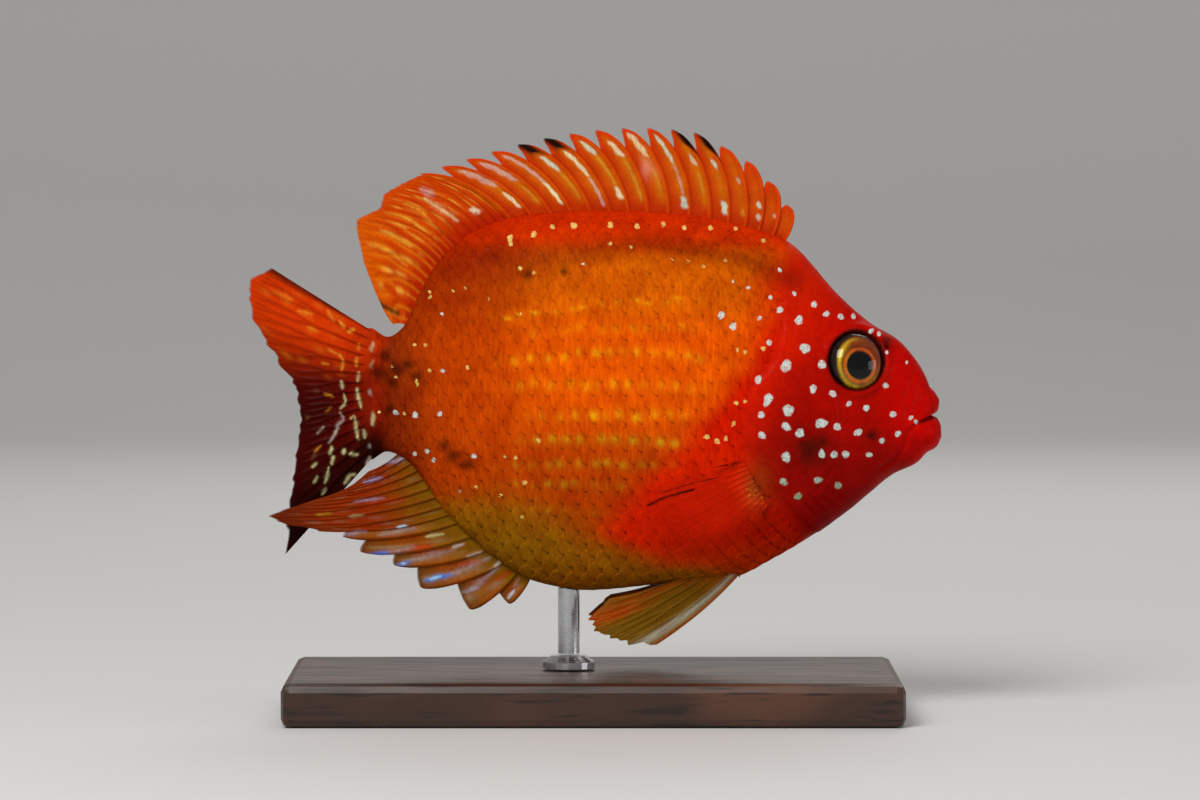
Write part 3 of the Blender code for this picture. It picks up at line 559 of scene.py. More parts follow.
# %% Marks at the root of the tail
TAIL_ROOT_X, TAIL_TOP, TAIL_BOTTOM = -30.0, 52.4, 35.7
CREAM, STRAW, PALE = srgb(198, 194, 136), srgb(220, 146, 40), srgb(188, 172, 160)
TAIL_MARKS = (
    (-30.2, 51.1, -30.6, 50.1, .26, .85, CREAM), (-30.3, 48.6, -30.6, 47.8, .22, .4, CREAM),
    (-30.7, 44.6, -30.7, 44.0, .28, .5, PALE), (-30.2, 41.5, -30.35, 39.9, .28, .9, CREAM),
    (-31.6, 39.1, -31.4, 38.0, .22, .9, CREAM), (-32.2, 51.0, -32.35, 50.1, .24, .55, STRAW),
    (-32.5, 49.0, -32.6, 47.9, .22, .75, STRAW), (-32.2, 47.1, -32.4, 45.8, .2, .65, CREAM),
    (-32.5, 44.8, -32.35, 43.6, -31.9, 42.1, .22, .85, CREAM),
    (-33.4, 40.7, -32.85, 41.0, -32.6, 39.2, -32.3, 37.8, .24, .9, CREAM),
    (-30.8, 37.1, -30.8, 36.7, .24, .7, PALE), (-30.7, 35.4, -31.2, 34.1, .26, .7, PALE),
    (-36.5, 50.2, -35.4, 49.6, .22, .5, STRAW), (-35.0, 49.6, -34.4, 48.6, -34.6, 47.3, .2, .7, STRAW),
    (-34.65, 45.8, -34.5, 44.8, .24, .95, CREAM),
    (-34.3, 44.0, -34.1, 42.9, -34.8, 42.0, .18, .85, CREAM),
    (-34.8, 41.5, -34.4, 40.6, -35.0, 39.8, -35.8, 38.1, -36.4, 37.2, .22, .8, PALE),
    (-36.0, 36.7, -36.2, 35.8, .3, .85, CREAM), (-35.8, 35.5, -36.0, 34.4, .24, .8, CREAM),
    (-36.4, 33.9, -36.9, 31.8, .22, .75, CREAM), (-34.3, 36.4, -34.4, 35.9, .32, .9, CREAM),
    (-33.4, 35.8, -32.5, 35.7, .3, .8, CREAM), (-34.3, 31.7, -33.6, 32.7, -32.8, 33.0, .24, .7, CREAM),
    (-37.3, 30.2, -36.8, 31.0, .22, .5, CREAM), (-38.5, 31.8, -38.0, 32.6, .22, .6, CREAM),
    (-38.7, 33.9, -38.1, 34.5, .22, .5, CREAM), (-38.4, 36.0, -37.5, 36.9, .2, .5, STRAW),
    (-38.0, 38.6, -37.1, 39.5, .2, .45, PALE), (-36.9, 41.6, -36.0, 42.2, .18, .4, STRAW),
    (-37.0, 44.1, -35.8, 43.7, .22, .6, STRAW), (-37.4, 48.3, -36.4, 48.1, .2, .4, STRAW),
    (-34.9, 54.1, -34.2, 53.2, .26, .85, STRAW), (-33.7, 52.6, -32.9, 52.9, .28, .85, STRAW),
    (-36.6, 55.6, -35.6, 54.0, .3, .4, STRAW), (-40.6, 55.4, -38.6, 55.0, .34, .5, STRAW),
    (-39.2, 53.2, -37.8, 52.6, .26, .5, STRAW), (-44.0, 58.2, -41.4, 57.0, .4, .3, STRAW))


def tail_tone(across, along):
    """Red fan: orange at its top edge, nearly black behind and below."""
    return layered(plain(across, 92, 7, 1),
                   (1 - rise(across, 0.14, 0.44), (208, 54, 2)),
                   (0.6 * (1 - rise(along, 0.0, 0.35)), (150, 32, 3)),
                   (0.75 * bump(across - 0.58, 0.22) * rise(along, 0.15, 0.7), (48, 8, 4)),
                   (rise(across, 0.62, 0.95), (36, 5, 2)))


print(len(TAIL_MARKS), "pale marks on the tail")

# %% [markdown]
# ## The colour at any place
#
# Over the regions lie a dark band along the back, darker patches here and there and a brown
# patch at the root of the pectoral fin. The same function colours the skin and the scales
# that lie on it, so the gaps between the scales never show another colour.

# %% Colour of the skin
DARK_PATCHES = (
    (31.1, 37.8, .9), (37.9, 38.6, .9), (29.6, 36.8, 2.6), (40.1, 51.4, .8), (-26.9, 47.6, 1.3),
    (-29.4, 47.0, 1.2), (-24.1, 46.6, 1.0), (-27.6, 45.8, .9), (-25.4, 48.2, 1.0), (-19.1, 35.8, 1.1),
    (-17.2, 34.5, 1.0), (-20.4, 37.0, 1.0), (-8.9, 60.6, .7), (-4.1, 61.0, .6), (-28.6, 49.4, 1.0),
    (-27.9, 42.0, .8))
TAIL_LONG, RED_WANDERS, RED_SOFT = 12.0, 1.6, 3.4
dark_band = smooth_line(((-23.0, 53.0), (-21.8, 58.5), (-17.5, 61.8), (-9, 62.6), (-1, 63.6),
                         (6, 64.6), (14, 64.2), (21, 62.6), (27.5, 59.6)), 4)


def body_colour(x, z):
    """Colour of the skin at a place on the side of the fish."""
    wander = RED_WANDERS * noise(x, z, 3, 5.0)
    share = rise(x - red_starts(z) + wander, -RED_SOFT, RED_SOFT)[..., None]
    colour = mixture(x, z, ORANGE_REGIONS) * (1 - share) + mixture(x, z, RED_REGIONS) * share
    across = np.clip((TAIL_TOP - z) / (TAIL_TOP - TAIL_BOTTOM), 0, 1)
    rear = tail_tone(across, np.clip((TAIL_ROOT_X - x) / TAIL_LONG, 0, 1))
    colour = blend_in(colour, rise(-x, 27.2, 29.8), rear)
    # Darker patches on the gill cover, the flank and the tail stem.
    dark_patch = np.zeros(np.shape(x))
    for along, up, reach in DARK_PATCHES:
        ragged = 1 + 0.35 * noise(x, z, 5, 0.8)
        dark_patch = np.maximum(dark_patch, 0.8 * bump(np.hypot(x - along, (z - up) * 1.2) * ragged, reach))
    gap, _ = line_distance(x, z, dark_band)
    band = 0.6 * bump(gap + 0.5 * noise(x, z, 9, 1.6), 1.7) * (0.3 + 0.7 * rise(x, -12, 4))
    brown = 0.8 * bump(np.hypot(x - 22.4, (z - 31.8) * 0.62), 1.9)
    colour = layered(colour, (band, (118, 24, 2)), (brown, (140, 52, 10)), (dark_patch, (45, 12, 4)))
    return strokes(colour, x, z, TAIL_MARKS)


print("the middle of the flank is", np.round(body_colour(np.array([3.0]), np.array([47.0])), 3))

# %% [markdown]
# ## Pearls and yellow spots
#
# White pearls crowd the cheek and the gill cover, and small yellow spots follow the back
# and the edge of the red. Scattering them by chance would lose the pattern that tells
# this fish from others, so each is placed, and only its uneven outline is left to chance.

# %% Pearls and yellow spots, as (along, up, radius) in millimetres
PEARLS = (
    (30.1, 56.5, .42), (25.4, 55.8, .45), (28.0, 54.4, .55), (31.8, 55.2, .4), (33.8, 54.8, .4),
    (35.6, 54.8, .35), (38.0, 52.8, .35), (39.1, 52.4, .32), (23.9, 51.4, .4), (28.8, 50.6, .68),
    (26.2, 48.2, .75), (31.1, 48.4, .55), (29.9, 45.1, .5), (32.6, 44.4, .45), (23.8, 43.9, .6),
    (26.5, 42.2, .75), (31.0, 40.4, .7), (33.2, 39.9, .5), (34.8, 43.0, .35), (37.2, 42.4, .42),
    (39.9, 45.4, .4), (40.9, 41.5, .45), (43.4, 41.0, .3), (44.1, 40.4, .3), (36.1, 39.1, .5),
    (26.2, 40.0, .55), (28.1, 39.1, .6), (41.6, 38.8, .4), (39.4, 37.9, .4), (26.2, 35.8, .65),
    (31.1, 36.2, .5), (32.8, 36.1, .5), (34.4, 36.1, .5), (37.6, 36.0, .4), (25.9, 32.4, .5),
    (30.6, 32.6, .5), (33.4, 31.8, .5), (27.9, 30.4, .5), (40.1, 49.9, .25), (42.9, 48.5, .22),
    (22.4, 46.4, .5), (23.6, 43.2, .45), (22.8, 41.6, .5), (22.9, 38.8, .5), (17.4, 55.1, .5),
    (19.0, 53.6, .5), (25.4, 61.2, .3), (24.1, 57.5, .3), (27.4, 58.0, .3), (21.1, 58.8, .28),
    (19.0, 59.7, .22), (22.6, 54.7, .34), (-20.7, 55.1, .26), (-1.4, 62.1, .24), (-20.6, 47.4, .34),
    (-21.0, 41.5, .36), (-24.4, 41.3, .42), (-27.1, 41.6, .38), (-24.5, 35.9, .32), (-22.8, 36.3, .38),
    (-21.9, 35.1, .34), (-16.3, 35.8, .38), (-18.3, 30.9, .26))
YELLOW_SPOTS = (
    (19.4, 43.2, .34), (20.6, 43.4, .3), (19.0, 40.4, .34), (15.4, 38.6, .38), (16.8, 38.0, .38),
    (18.0, 38.4, .34), (20.6, 50.1, .3), (19.6, 50.4, .28), (23.1, 50.6, .34), (-2.7, 67.2, .46),
    (2.3, 67.3, .42), (5.95, 67.1, .38), (9.6, 67.4, .36), (12.4, 66.9, .32), (16.0, 66.9, .36),
    (19.5, 66.8, .32), (23.3, 65.2, .32), (-5.6, 67.1, .36), (-8.2, 66.0, .42), (-11.4, 65.6, .42),
    (-11.3, 64.7, .34), (-22.0, 62.9, .5), (2.3, 64.8, .3), (5.2, 64.4, .28), (12.9, 62.4, .24),
    (14.9, 61.8, .28), (18.0, 62.5, .3), (-10.0, 61.4, .32), (-14.3, 57.3, .24), (-9.9, 55.3, .22),
    (-17.2, 47.9, .3), (-22.4, 47.4, .3), (-27.1, 46.5, .24), (-27.7, 47.9, .22), (-24.5, 50.9, .26),
    (-23.0, 50.9, .26), (-25.9, 41.5, .24), (-9.4, 32.2, .36), (-7.5, 38.0, .34), (-10.6, 35.6, .28),
    (-12.1, 35.8, .26), (-12.7, 30.4, .28), (-9.8, 27.4, .3), (-16.1, 31.5, .26), (-8.1, 60.9, .28),
    (-17.5, 58.7, .28), (-19.2, 58.3, .26), (-20.7, 55.1, .26), (-22.4, 58.1, .24), (-22.4, 57.4, .26),
    (10.7, 62.6, .24), (-1.4, 62.1, .24), (-24.2, 46.0, .26), (-24.1, 45.4, .24), (-29.4, 41.6, .24))
DOTS = {"pearl": PEARLS, "spot": YELLOW_SPOTS}
OTHER_SIDE_SHIFT = 0.5


def dot_field(x, z, dots, side):
    """How deep each point lies inside a dot: 1 at its middle, 0 at its uneven edge."""
    random = np.random.default_rng(11)
    field = np.full(np.shape(x), -1.0)
    for along, up, radius in dots:
        dx, dz = random.uniform(-OTHER_SIDE_SHIFT, OTHER_SIDE_SHIFT, 2) * (side > 0)
        turn, stretch = random.uniform(0, math.pi), random.uniform(1.0, 1.35)
        a, b = x - along - dx, z - up - dz
        long = (a * math.cos(turn) + b * math.sin(turn)) / stretch
        across = (b * math.cos(turn) - a * math.sin(turn)) * stretch ** 0.5
        bearing = np.arctan2(b, a)
        lobes = 1 + 0.06 * np.sin(3 * bearing + 9 * turn) + 0.05 * np.sin(5 * bearing + 4 * turn)
        field = np.maximum(field, 1 - np.hypot(long, across) / (1.1 * radius * lobes))
    return field


print(len(PEARLS), "pearls and", len(YELLOW_SPOTS), "yellow spots on each side")

# %% [markdown]
# ## Wet skin
#
# Fish skin is pigment under a clear film of slime: the colour is deep and the highlights
# are small and sharp. One way is a mirror-like colour, but that looks like plastic. Here
# a middling roughness carries the colour and a thin coat over it carries the shine.

# %% Skin material
PEARL_WHITE, PEARL_GREEN = (*srgb(204, 222, 214), 1), (*srgb(136, 166, 124), 1)
SPOT_YELLOW = (*srgb(232, 204, 112), 1)


def skin_material(name, upright, grain_size, strength, film):
    """Wet, pigmented skin with pearls and yellow spots."""
    material, tree, shader = start_material(name, Specular_IOR_Level=0.4 * film, Coat_Weight=film,
                                            Coat_Roughness=0.06, Coat_IOR=1.36)
    base = use_group(tree, pigment, Colour=attribute(tree, "tint", "Color"), Patch_size=330.0,
                     Grain_size=grain_size, Upright=upright, Strength=strength)
    spots = use_group(tree, pearls, Field=attribute(tree, "spot"), Under=base["Colour"],
                      Pearl=SPOT_YELLOW, Ragged=0.5)
    place = own_place(tree)
    up = add_node(tree, "ShaderNodeSeparateXYZ", {0: place}).outputs["Z"]
    pearl = blend_colour(tree, ramp(tree, up, 0.029, 0.037), PEARL_GREEN, PEARL_WHITE)
    dots = use_group(tree, pearls, Field=attribute(tree, "pearl"), Under=spots["Colour"],
                     Pearl=pearl, Ragged=0.45)
    tree.links.new(dots["Colour"], shader["Base Color"])
    tree.links.new(ramp(tree, base["Grain"], 0.2, 0.8, 0.46, 0.36), shader["Roughness"])
    height = use_group(tree, grain, Size=1700.0, Fine_share=0.5)["Height"]
    raised = maths(tree, "ADD", height, maths(tree, "MULTIPLY", dots["Mask"], 1.2))
    tree.links.new(emboss(tree, raised, 0.35, 0.05), shader["Normal"])
    return material


skin_finish = skin_material("wet_skin", 1.0, 1500.0, 0.22, 0.03)
scale_finish = skin_material("wet_scales", 6.0, 2600.0, 0.34, 0.004)
print("skin finishes:", skin_finish.name, scale_finish.name)

# %% [markdown]
# ## The body
#
# The flesh is one closed skin from the lips to the root of the tail, so that no seam
# shows where head, gill cover, trunk and tail stem meet. A cage with subdivision would
# be the hand modeller's way. Here the outline curves are known, so the skin is a dense
# loft of rings, with points at equal steps round each ring, closer together on the head
# where the eye sockets, nostrils and lips need them.

# %% Rings of the body
HALF_RING = 161


def half_ring(x):
    """Points down one side of the body at a station, at equal steps of its length."""
    turn = np.linspace(0, 1, 500)
    angle = math.pi * (turn - np.sin(2 * math.pi * turn) / (2 * math.pi))
    level, top, low = middle(x), back(x), belly(x)
    over = np.cos(angle) > 0
    z = level + np.cos(angle) * np.where(over, top - level, level - low)
    y = half_width(x) * np.abs(np.sin(angle)) ** np.where(over, back_power(x), belly_power(x))
    run = np.concatenate([[0], np.cumsum(np.hypot(np.diff(y), np.diff(z)))])
    even = np.linspace(0, run[-1], HALF_RING)
    return np.interp(even, run, y), np.interp(even, run, z), run[-1]


def tail_sideways(x, z, share):
    """The tail's swing to the left."""
    behind = np.maximum(TAIL_ROOT_X - x, 0) / 17.7
    low = np.clip((50.0 - z) / 20.0, 0, 1)
    wave = 0.22 * np.sin(z * 0.55 + 0.4) * behind
    return 1.8 * (0.45 + 0.55 * low) * behind ** 1.2 + wave


stations = np.concatenate([np.arange(-33.4, -28.2, 0.2), np.arange(-28.1, 24.0, 0.36),
                           np.linspace(24.1, FRONT, 124)])
rings = np.zeros((len(stations), HALF_RING, 3))
for k, x in enumerate(stations):
    y, z, _ = half_ring(x)
    thin = 1 - 0.965 * rise(REAR - x, -1.2, 2.4)
    rings[k] = np.column_stack([np.full(HALF_RING, x), y * thin, z])
tail_swing = tail_sideways(rings[..., 0], rings[..., 2], 1.0)
snout = rings[-1].mean(0) * (1, 0, 1)
caps = [snout + (rings[-1] - snout) * t + (0.32 * (1 - t * t), 0, 0)
        for t in (0.93, 0.84, 0.72, 0.58, 0.42, 0.25, 0.08)]
half = np.concatenate([rings, np.array(caps)])
other = half[:, -2:0:-1] * (1, -1, 1)
body = np.concatenate([half, other], 1)
body[:len(stations), :HALF_RING, 1] += tail_swing
body[:len(stations), HALF_RING:, 1] += tail_swing[:, -2:0:-1]
print("body grid", body.shape[:2])

# %% [markdown]
# ## Lips
#
# Thick lips roll out of the snout without a seam. Two tubes laid on the snout would show
# where they cross the skin. So the snout's points are pushed outwards, each along its own
# line from a point deep in the head, until they reach a soft union of snout and lips. A
# groove is then pressed in where the lips meet.

# %% Push the snout out to the lips
LIP_CENTRE = 43.9
UPPER_LIP = {"reach": 2.6, "spread": 3.8, "height": 42.85, "rise": -2.0, "tube": 1.1}
LOWER_LIP = {"reach": 2.3, "spread": 3.6, "height": 38.75, "rise": 0.4, "tube": 1.7}
LIP_TALLER, LIP_CORNER = 1.45, 0.7
DEEP_IN_HEAD = np.array((38.0, 0.0, 41.4))


def lip_distance(points, lip):
    """Distance to the surface of one lip, negative inside it."""
    best = np.full(points.shape[:-1], 1e9)
    for angle in np.radians(np.linspace(-82, 82, 45)):
        fade = math.cos(angle)
        radius = LIP_CORNER + (lip["tube"] - LIP_CORNER) * fade
        dx = points[..., 0] - LIP_CENTRE - lip["reach"] * fade
        dy = points[..., 1] - lip["spread"] * math.sin(angle)
        dz = (points[..., 2] - lip["height"] - lip["rise"] * (1 - fade)) / LIP_TALLER
        best = np.minimum(best, np.sqrt(dx * dx + dy * dy + dz * dz) - radius)
    return best


front = np.where(body[:, 0, 0] > 41.0)[0]
face = body[front]
ray = face - DEEP_IN_HEAD
reach = np.linalg.norm(ray, axis=-1)
ray /= reach[..., None]
steps = np.linspace(-1.0, 3.2, 43)
outside = np.zeros(steps.shape + reach.shape)
for k, step in enumerate(steps):
    spot = DEEP_IN_HEAD + ray * (reach + step)[..., None]
    lips = np.minimum(lip_distance(spot, UPPER_LIP), lip_distance(spot, LOWER_LIP))
    share = np.clip(0.5 + 0.5 * (lips - step) / 0.7, 0, 1)
    outside[k] = lips * (1 - share) + step * share - 0.7 * share * (1 - share)
inside = outside < 0
last = len(steps) - 1 - np.argmax(inside[::-1], axis=0)
last = np.clip(np.where(inside.any(0), last, 9), 0, len(steps) - 2)
a = np.take_along_axis(outside, last[None], 0)[0]
b = np.take_along_axis(outside, last[None] + 1, 0)[0]
push = steps[last] + (steps[1] - steps[0]) * np.clip(a / (a - b + 1e-9), 0, 1)
push *= rise(face[..., 0], 41.0, 42.4)
body[front] = face + ray * push[..., None]


def mouth_gap(points):
    """Height above the line where the lips meet, and how far along it the mouth opens."""
    turn = np.arctan2(points[..., 1] / 3.7, (points[..., 0] - LIP_CENTRE) / 2.5)
    across = np.cos(turn)
    return points[..., 2] - 41.2 + 1.25 * (1 - across), rise(across, 0.05, 0.4)


gap, opens = mouth_gap(body)
opens = opens * (body[..., 0] > 43.4)
body -= (0.85 * bump(gap, 0.26) * opens)[..., None] * np.array((1, 0, 0))
print("lips reach", round(float(body[..., 0].max()), 2), "mm, furthest push",
      round(float(push.max()), 2), "mm")

# %% [markdown]
# ## Relief of the head
#
# The socket of the eye, its raised rim, the nostril, the gill opening, the fold at the
# corner of the mouth and the thin struts under the throat are a millimetre deep or less.
# They are moved in the mesh itself, along its normals, because relief that is only in
# the material is lost where the silhouette passes.

# %% Move the skin along its normals
EYE = (35.9, 48.9)
NOSTRIL = (40.2, 50.6)
cheek_fold = smooth_line(((31.4, 50.2), (33.3, 46.0), (33.6, 40.0), (33.0, 35.0), (30.6, 31.2)))
jaw_fold = smooth_line(((44.2, 40.0), (43.1, 38.9), (42.6, 37.2), (41.4, 35.4), (39.2, 33.9)))
upper_fold = smooth_line(((43.8, 46.6), (42.9, 44.2), (42.7, 42.2), (43.3, 40.6)))
FOLDS = ((cheek_fold, 0.14, 0.3), (jaw_fold, 0.2, 0.28), (upper_fold, 0.12, 0.3))
STRUT_SPACING = 1.25


def relief(x, z):
    """Height of the skin over the smooth loft, in millimetres."""
    eye = np.hypot((x - EYE[0]) / 0.97, z - EYE[1])
    height = -2.2 * (1 - rise(eye, 3.1, 4.1)) + 0.3 * bump(eye - 4.55, 0.5)
    height -= 0.07 * bump(eye - 5.6, 0.5)
    pit = np.hypot(x - NOSTRIL[0], z - NOSTRIL[1])
    height += 0.12 * bump(pit - 0.62, 0.2) - 0.75 * bump(pit, 0.36)
    behind = behind_gill(x, z)
    plate_edge = rise(-behind, 0.0, 2.6) * rise(z, 24, 30) * (1 - rise(z, 50, 57))
    step = rise(behind, -0.45, 0.35)
    edge = 0.12 * bump(behind, 2.2) * (1 - step) - 0.12 * np.exp(-np.abs(behind) / 1.2) * step
    height += edge * rise(z, 22, 28) * (1 - rise(z, 52, 60))
    height += 0.05 * plate_edge * noise(x, z, 21, 2.0)
    for line, deep, wide in FOLDS:
        distance, _ = line_distance(x, z, line)
        height -= deep * bump(distance, wide)
        height += 0.4 * deep * bump(distance - 2.2 * wide, 1.6 * wide)
    struts = np.sin(behind * 2 * math.pi / STRUT_SPACING) * rise(-behind, 0.4, 1.6)
    struts = struts * (1 - rise(-behind, 6, 8))
    height += 0.05 * struts * (1 - rise(z, 29, 33)) * rise(z - belly(x), 1.5, 4)
    height += 0.05 * noise(x, z, 7, 3.0) + 0.02 * noise(x, z, 8, 0.9)
    return (height - 0.14 * rise(behind, -0.4, 1.4)) * rise(x, -32.4, -29.4)


def ring_normals(grid):
    """Outward direction at each point of a tube-shaped grid."""
    along = np.gradient(grid, axis=0)
    around = np.roll(grid, -1, 1) - np.roll(grid, 1, 1)
    return unit(np.cross(along, around))


height = relief(body[..., 0], body[..., 2])
flat_part = np.abs(body[..., 1]) > 0.6
height = np.where(flat_part, height, height * np.abs(body[..., 1]) / 0.6)
height[stations.size - 3:] *= 0.3
body = body + ring_normals(body) * height[..., None]
print("relief from", round(float(height.min()), 2), "to", round(float(height.max()), 2), "mm")

# %% [markdown]
# ## Close and colour the skin
#
# The unwrap for baking is laid out from the skin's own rings: along the fish one way
# and down its side the other, with the left and the right side beside each other.

# %% Skin piece
count_rings, count_round = body.shape[:2]
points = body.reshape(-1, 3)
index = np.arange(count_rings * count_round).reshape(count_rings, count_round)
wrapped = np.concatenate([index, index[:, :1]], 1)
quads = grid_faces(wrapped)
column = np.tile(np.arange(count_round), count_rings - 1)
tail_hub = body[0].mean(0)
nose_hub = body[-1].mean(0) + (0.02, 0, 0)
points = np.vstack([points, tail_hub, nose_hub])
hubs = (len(points) - 2, len(points) - 1)
first, last_ring = index[0], index[-1]
tail_fan = np.stack([first, np.roll(first, -1), np.full(count_round, hubs[0])], -1)
nose_fan = np.stack([np.roll(last_ring, -1), last_ring, np.full(count_round, hubs[1])], -1)
faces = quads.tolist() + tail_fan.tolist() + nose_fan.tolist()


def unwrap(x, down):
    """Place on the unwrapped side of the fish, from 0 to 1 both ways."""
    return np.column_stack([0.01 + 0.47 * (np.ravel(x) + 35) / 84, 0.02 + 0.96 * np.ravel(down)])


down = np.minimum(np.arange(count_round), count_round - np.arange(count_round)) / (HALF_RING - 1)
ring_share = np.concatenate([stations, FRONT + 0.15 * np.arange(1, len(caps) + 1)])
point_uv = unwrap(np.repeat(ring_share, count_round), np.tile(down, count_rings))
point_uv = np.vstack([point_uv, [0.012, 0.5], [0.478, 0.5]])
corner_uv = point_uv[np.concatenate([quads.ravel(), tail_fan.ravel(), nose_fan.ravel()])]
other_side = np.concatenate([np.repeat(column >= HALF_RING - 1, 4),
                             np.repeat(np.arange(count_round) >= HALF_RING - 1, 3),
                             np.repeat(np.arange(count_round) >= HALF_RING - 1, 3)])
corner_uv[:, 0] += np.where(other_side, 0.5, 0)

x, y, z = points.T
colours = body_colour(x, z)
# Painted shade: the groove where the lips meet, the gap round the eye in its socket and the nostril
# pit are darkened in the skin's colour.
gap, opens = mouth_gap(points)
mouth_groove_shade = 0.7 * bump(gap, 0.26) * opens * rise(x, 43.6, 45.2)
socket = 1 - rise(np.hypot((x - EYE[0]) / 0.97, z - EYE[1]), 3.95, 4.5)
pit = bump(np.hypot(x - NOSTRIL[0], z - NOSTRIL[1]), 0.42)
painted_shade = np.clip(np.maximum(np.maximum(mouth_groove_shade, 0.93 * socket), 0.8 * pit), 0, 1)[:, None]
colours = colours * (1 - painted_shade) + srgb(26, 6, 3) * painted_shade
masks = {label: np.where(y > 0, dot_field(x, z, dots, 1), dot_field(x, z, dots, -1))
         for label, dots in DOTS.items()}
skin = make_piece("skin", points, faces, corner_uv, skin_finish, colours, masks)
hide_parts("head", "gill_cover_left", "gill_cover_right", "torso", "tail_stem")
print("skin has", len(faces), "faces")

# %% [markdown]
# ## Scales
#
# Scales grow in rows along the body and overlap like tiles, with their free edge
# towards the tail. A bump pattern would look flat from the side and at the outline. Here
# each scale is a small curved plate with its front sunk in the skin, set in rows at
# equal distances down the flank, and all the scales of a side are one mesh.

# %% A chart of the flank
LATERAL, STEP_ALONG, STEP_DOWN = 43.8, 0.25, 0.15
chart_x = np.arange(-30.6, 30.0, STEP_ALONG)
chart_s = np.arange(-36.0, 36.01, STEP_DOWN)
chart = np.zeros((len(chart_x), len(chart_s), 3))
reach_up = np.zeros(len(chart_x))
reach_down = np.zeros(len(chart_x))
for k, x in enumerate(chart_x):
    y, z, _ = half_ring(x)
    run = np.concatenate([[0], np.cumsum(np.hypot(np.diff(y), np.diff(z)))])
    zero = np.interp(-LATERAL, -z, run)
    up, down_run = zero, run[-1] - zero
    reach_up[k], reach_down[k] = up, down_run
    over = np.clip(chart_s, -down_run, up)
    y_at, z_at = np.interp(zero - over, run, y), np.interp(zero - over, run, z)
    mirrored = np.where(chart_s > up, 2 * up - chart_s, -2 * down_run - chart_s)
    y_far = -np.interp(zero - mirrored, run, y)
    z_far = np.interp(zero - mirrored, run, z)
    past = (chart_s > up) | (chart_s < -down_run)
    chart[k] = np.column_stack([np.full(len(chart_s), x), np.where(past, y_far, y_at),
                                np.where(past, z_far, z_at)])
chart_normal = unit(np.cross(np.gradient(chart, axis=1), np.gradient(chart, axis=0)))


def on_chart(table, x, s):
    """Values of a chart at places along the fish and down its side."""
    u = np.clip((x - chart_x[0]) / STEP_ALONG, 0, len(chart_x) - 1.001)
    v = np.clip((s - chart_s[0]) / STEP_DOWN, 0, len(chart_s) - 1.001)
    i, j = u.astype(int), v.astype(int)
    u, v = (u - i)[..., None], (v - j)[..., None]
    low = table[i, j] * (1 - u) + table[i + 1, j] * u
    high = table[i, j + 1] * (1 - u) + table[i + 1, j + 1] * u
    return low * (1 - v) + high * v


print("chart of the flank:", chart.shape[:2])

# %% [markdown]
# ## Where the scales sit
#
# Even steps on the side view would squeeze the rows where the flank curves away to the
# back and the belly. So the rows are counted on the chart, which follows the curve. Every
# other row is shifted by half a scale, and the scales are smaller towards head and tail.

# %% Where the scales sit
ROW, ALONG = 1.9, 2.15
shrink = law(((-31, 0.7), (-22, 0.8), (-8, 0.96), (4, 1.0), (14, 0.97), (24, 0.8), (30, 0.68)))
places = []
x_walk = [28.5]
while x_walk[-1] > -30.0:
    x_walk.append(x_walk[-1] - 0.5 * ALONG * float(shrink(x_walk[-1])))
for j in range(-19, 20):
    for k, x in enumerate(x_walk):
        if (k + j) % 2:
            continue
        s = ROW * float(shrink(x)) * j
        up = np.interp(x, chart_x, reach_up)
        low = np.interp(x, chart_x, reach_down)
        if s > up - 0.75 or s < -(low - 0.75):
            continue
        z = float(on_chart(chart, np.array(x), np.array(s))[2])
        clear_of_gill = 1.0 if z < 56 else -2.0 + 0.3 * (66 - z)
        if float(behind_gill(np.array(x), np.array(z))) < clear_of_gill:
            continue
        places.append((x, s, float(shrink(x))))
places = np.array(places)
print(len(places), "scales on a side")

# %% [markdown]
# ## Rows of yellow spots
#
# Along the flank the scales carry soft yellow spots, one behind the other in rows. Spots
# drawn exactly on a grid look printed. Each row follows a smooth line, and each spot is
# shifted, sized and faded by chance. The belly rows are greener.

# %% Rows of yellow spots
# Each row: its height at four places along the fish, where it starts and ends, and its strength.
GOLD_ROWS = (
    ((54.9, 56.7, 57.1, 56.4), -14, 15, 0.75, 0.24), ((52.4, 53.4, 53.4, 52.8), -10, 14, 0.5, 0.5),
    ((48.8, 50.2, 49.6, 48.8), -13, 17, 0.85, 0.5), ((45.6, 45.7, 45.4, 45.0), -12, 16, 1.0, 0.6),
    ((41.2, 41.5, 41.5, 41.3), -9, 13, 0.95, 0.55), ((38.0, 38.1, 37.8, 37.6), -10, 13, 0.85, 0.5),
    ((34.5, 34.9, 35.0, 34.8), -13, 11, 0.6, 0.45), ((32.1, 31.8, 31.4, 31.2), -13, 5, 0.5, 0.45),
    ((28.4, 28.0, 27.8, 27.6), -13, 2, 0.3, 0.4))
GOLD, GREEN_GOLD = srgb(236, 168, 16), srgb(186, 158, 26)


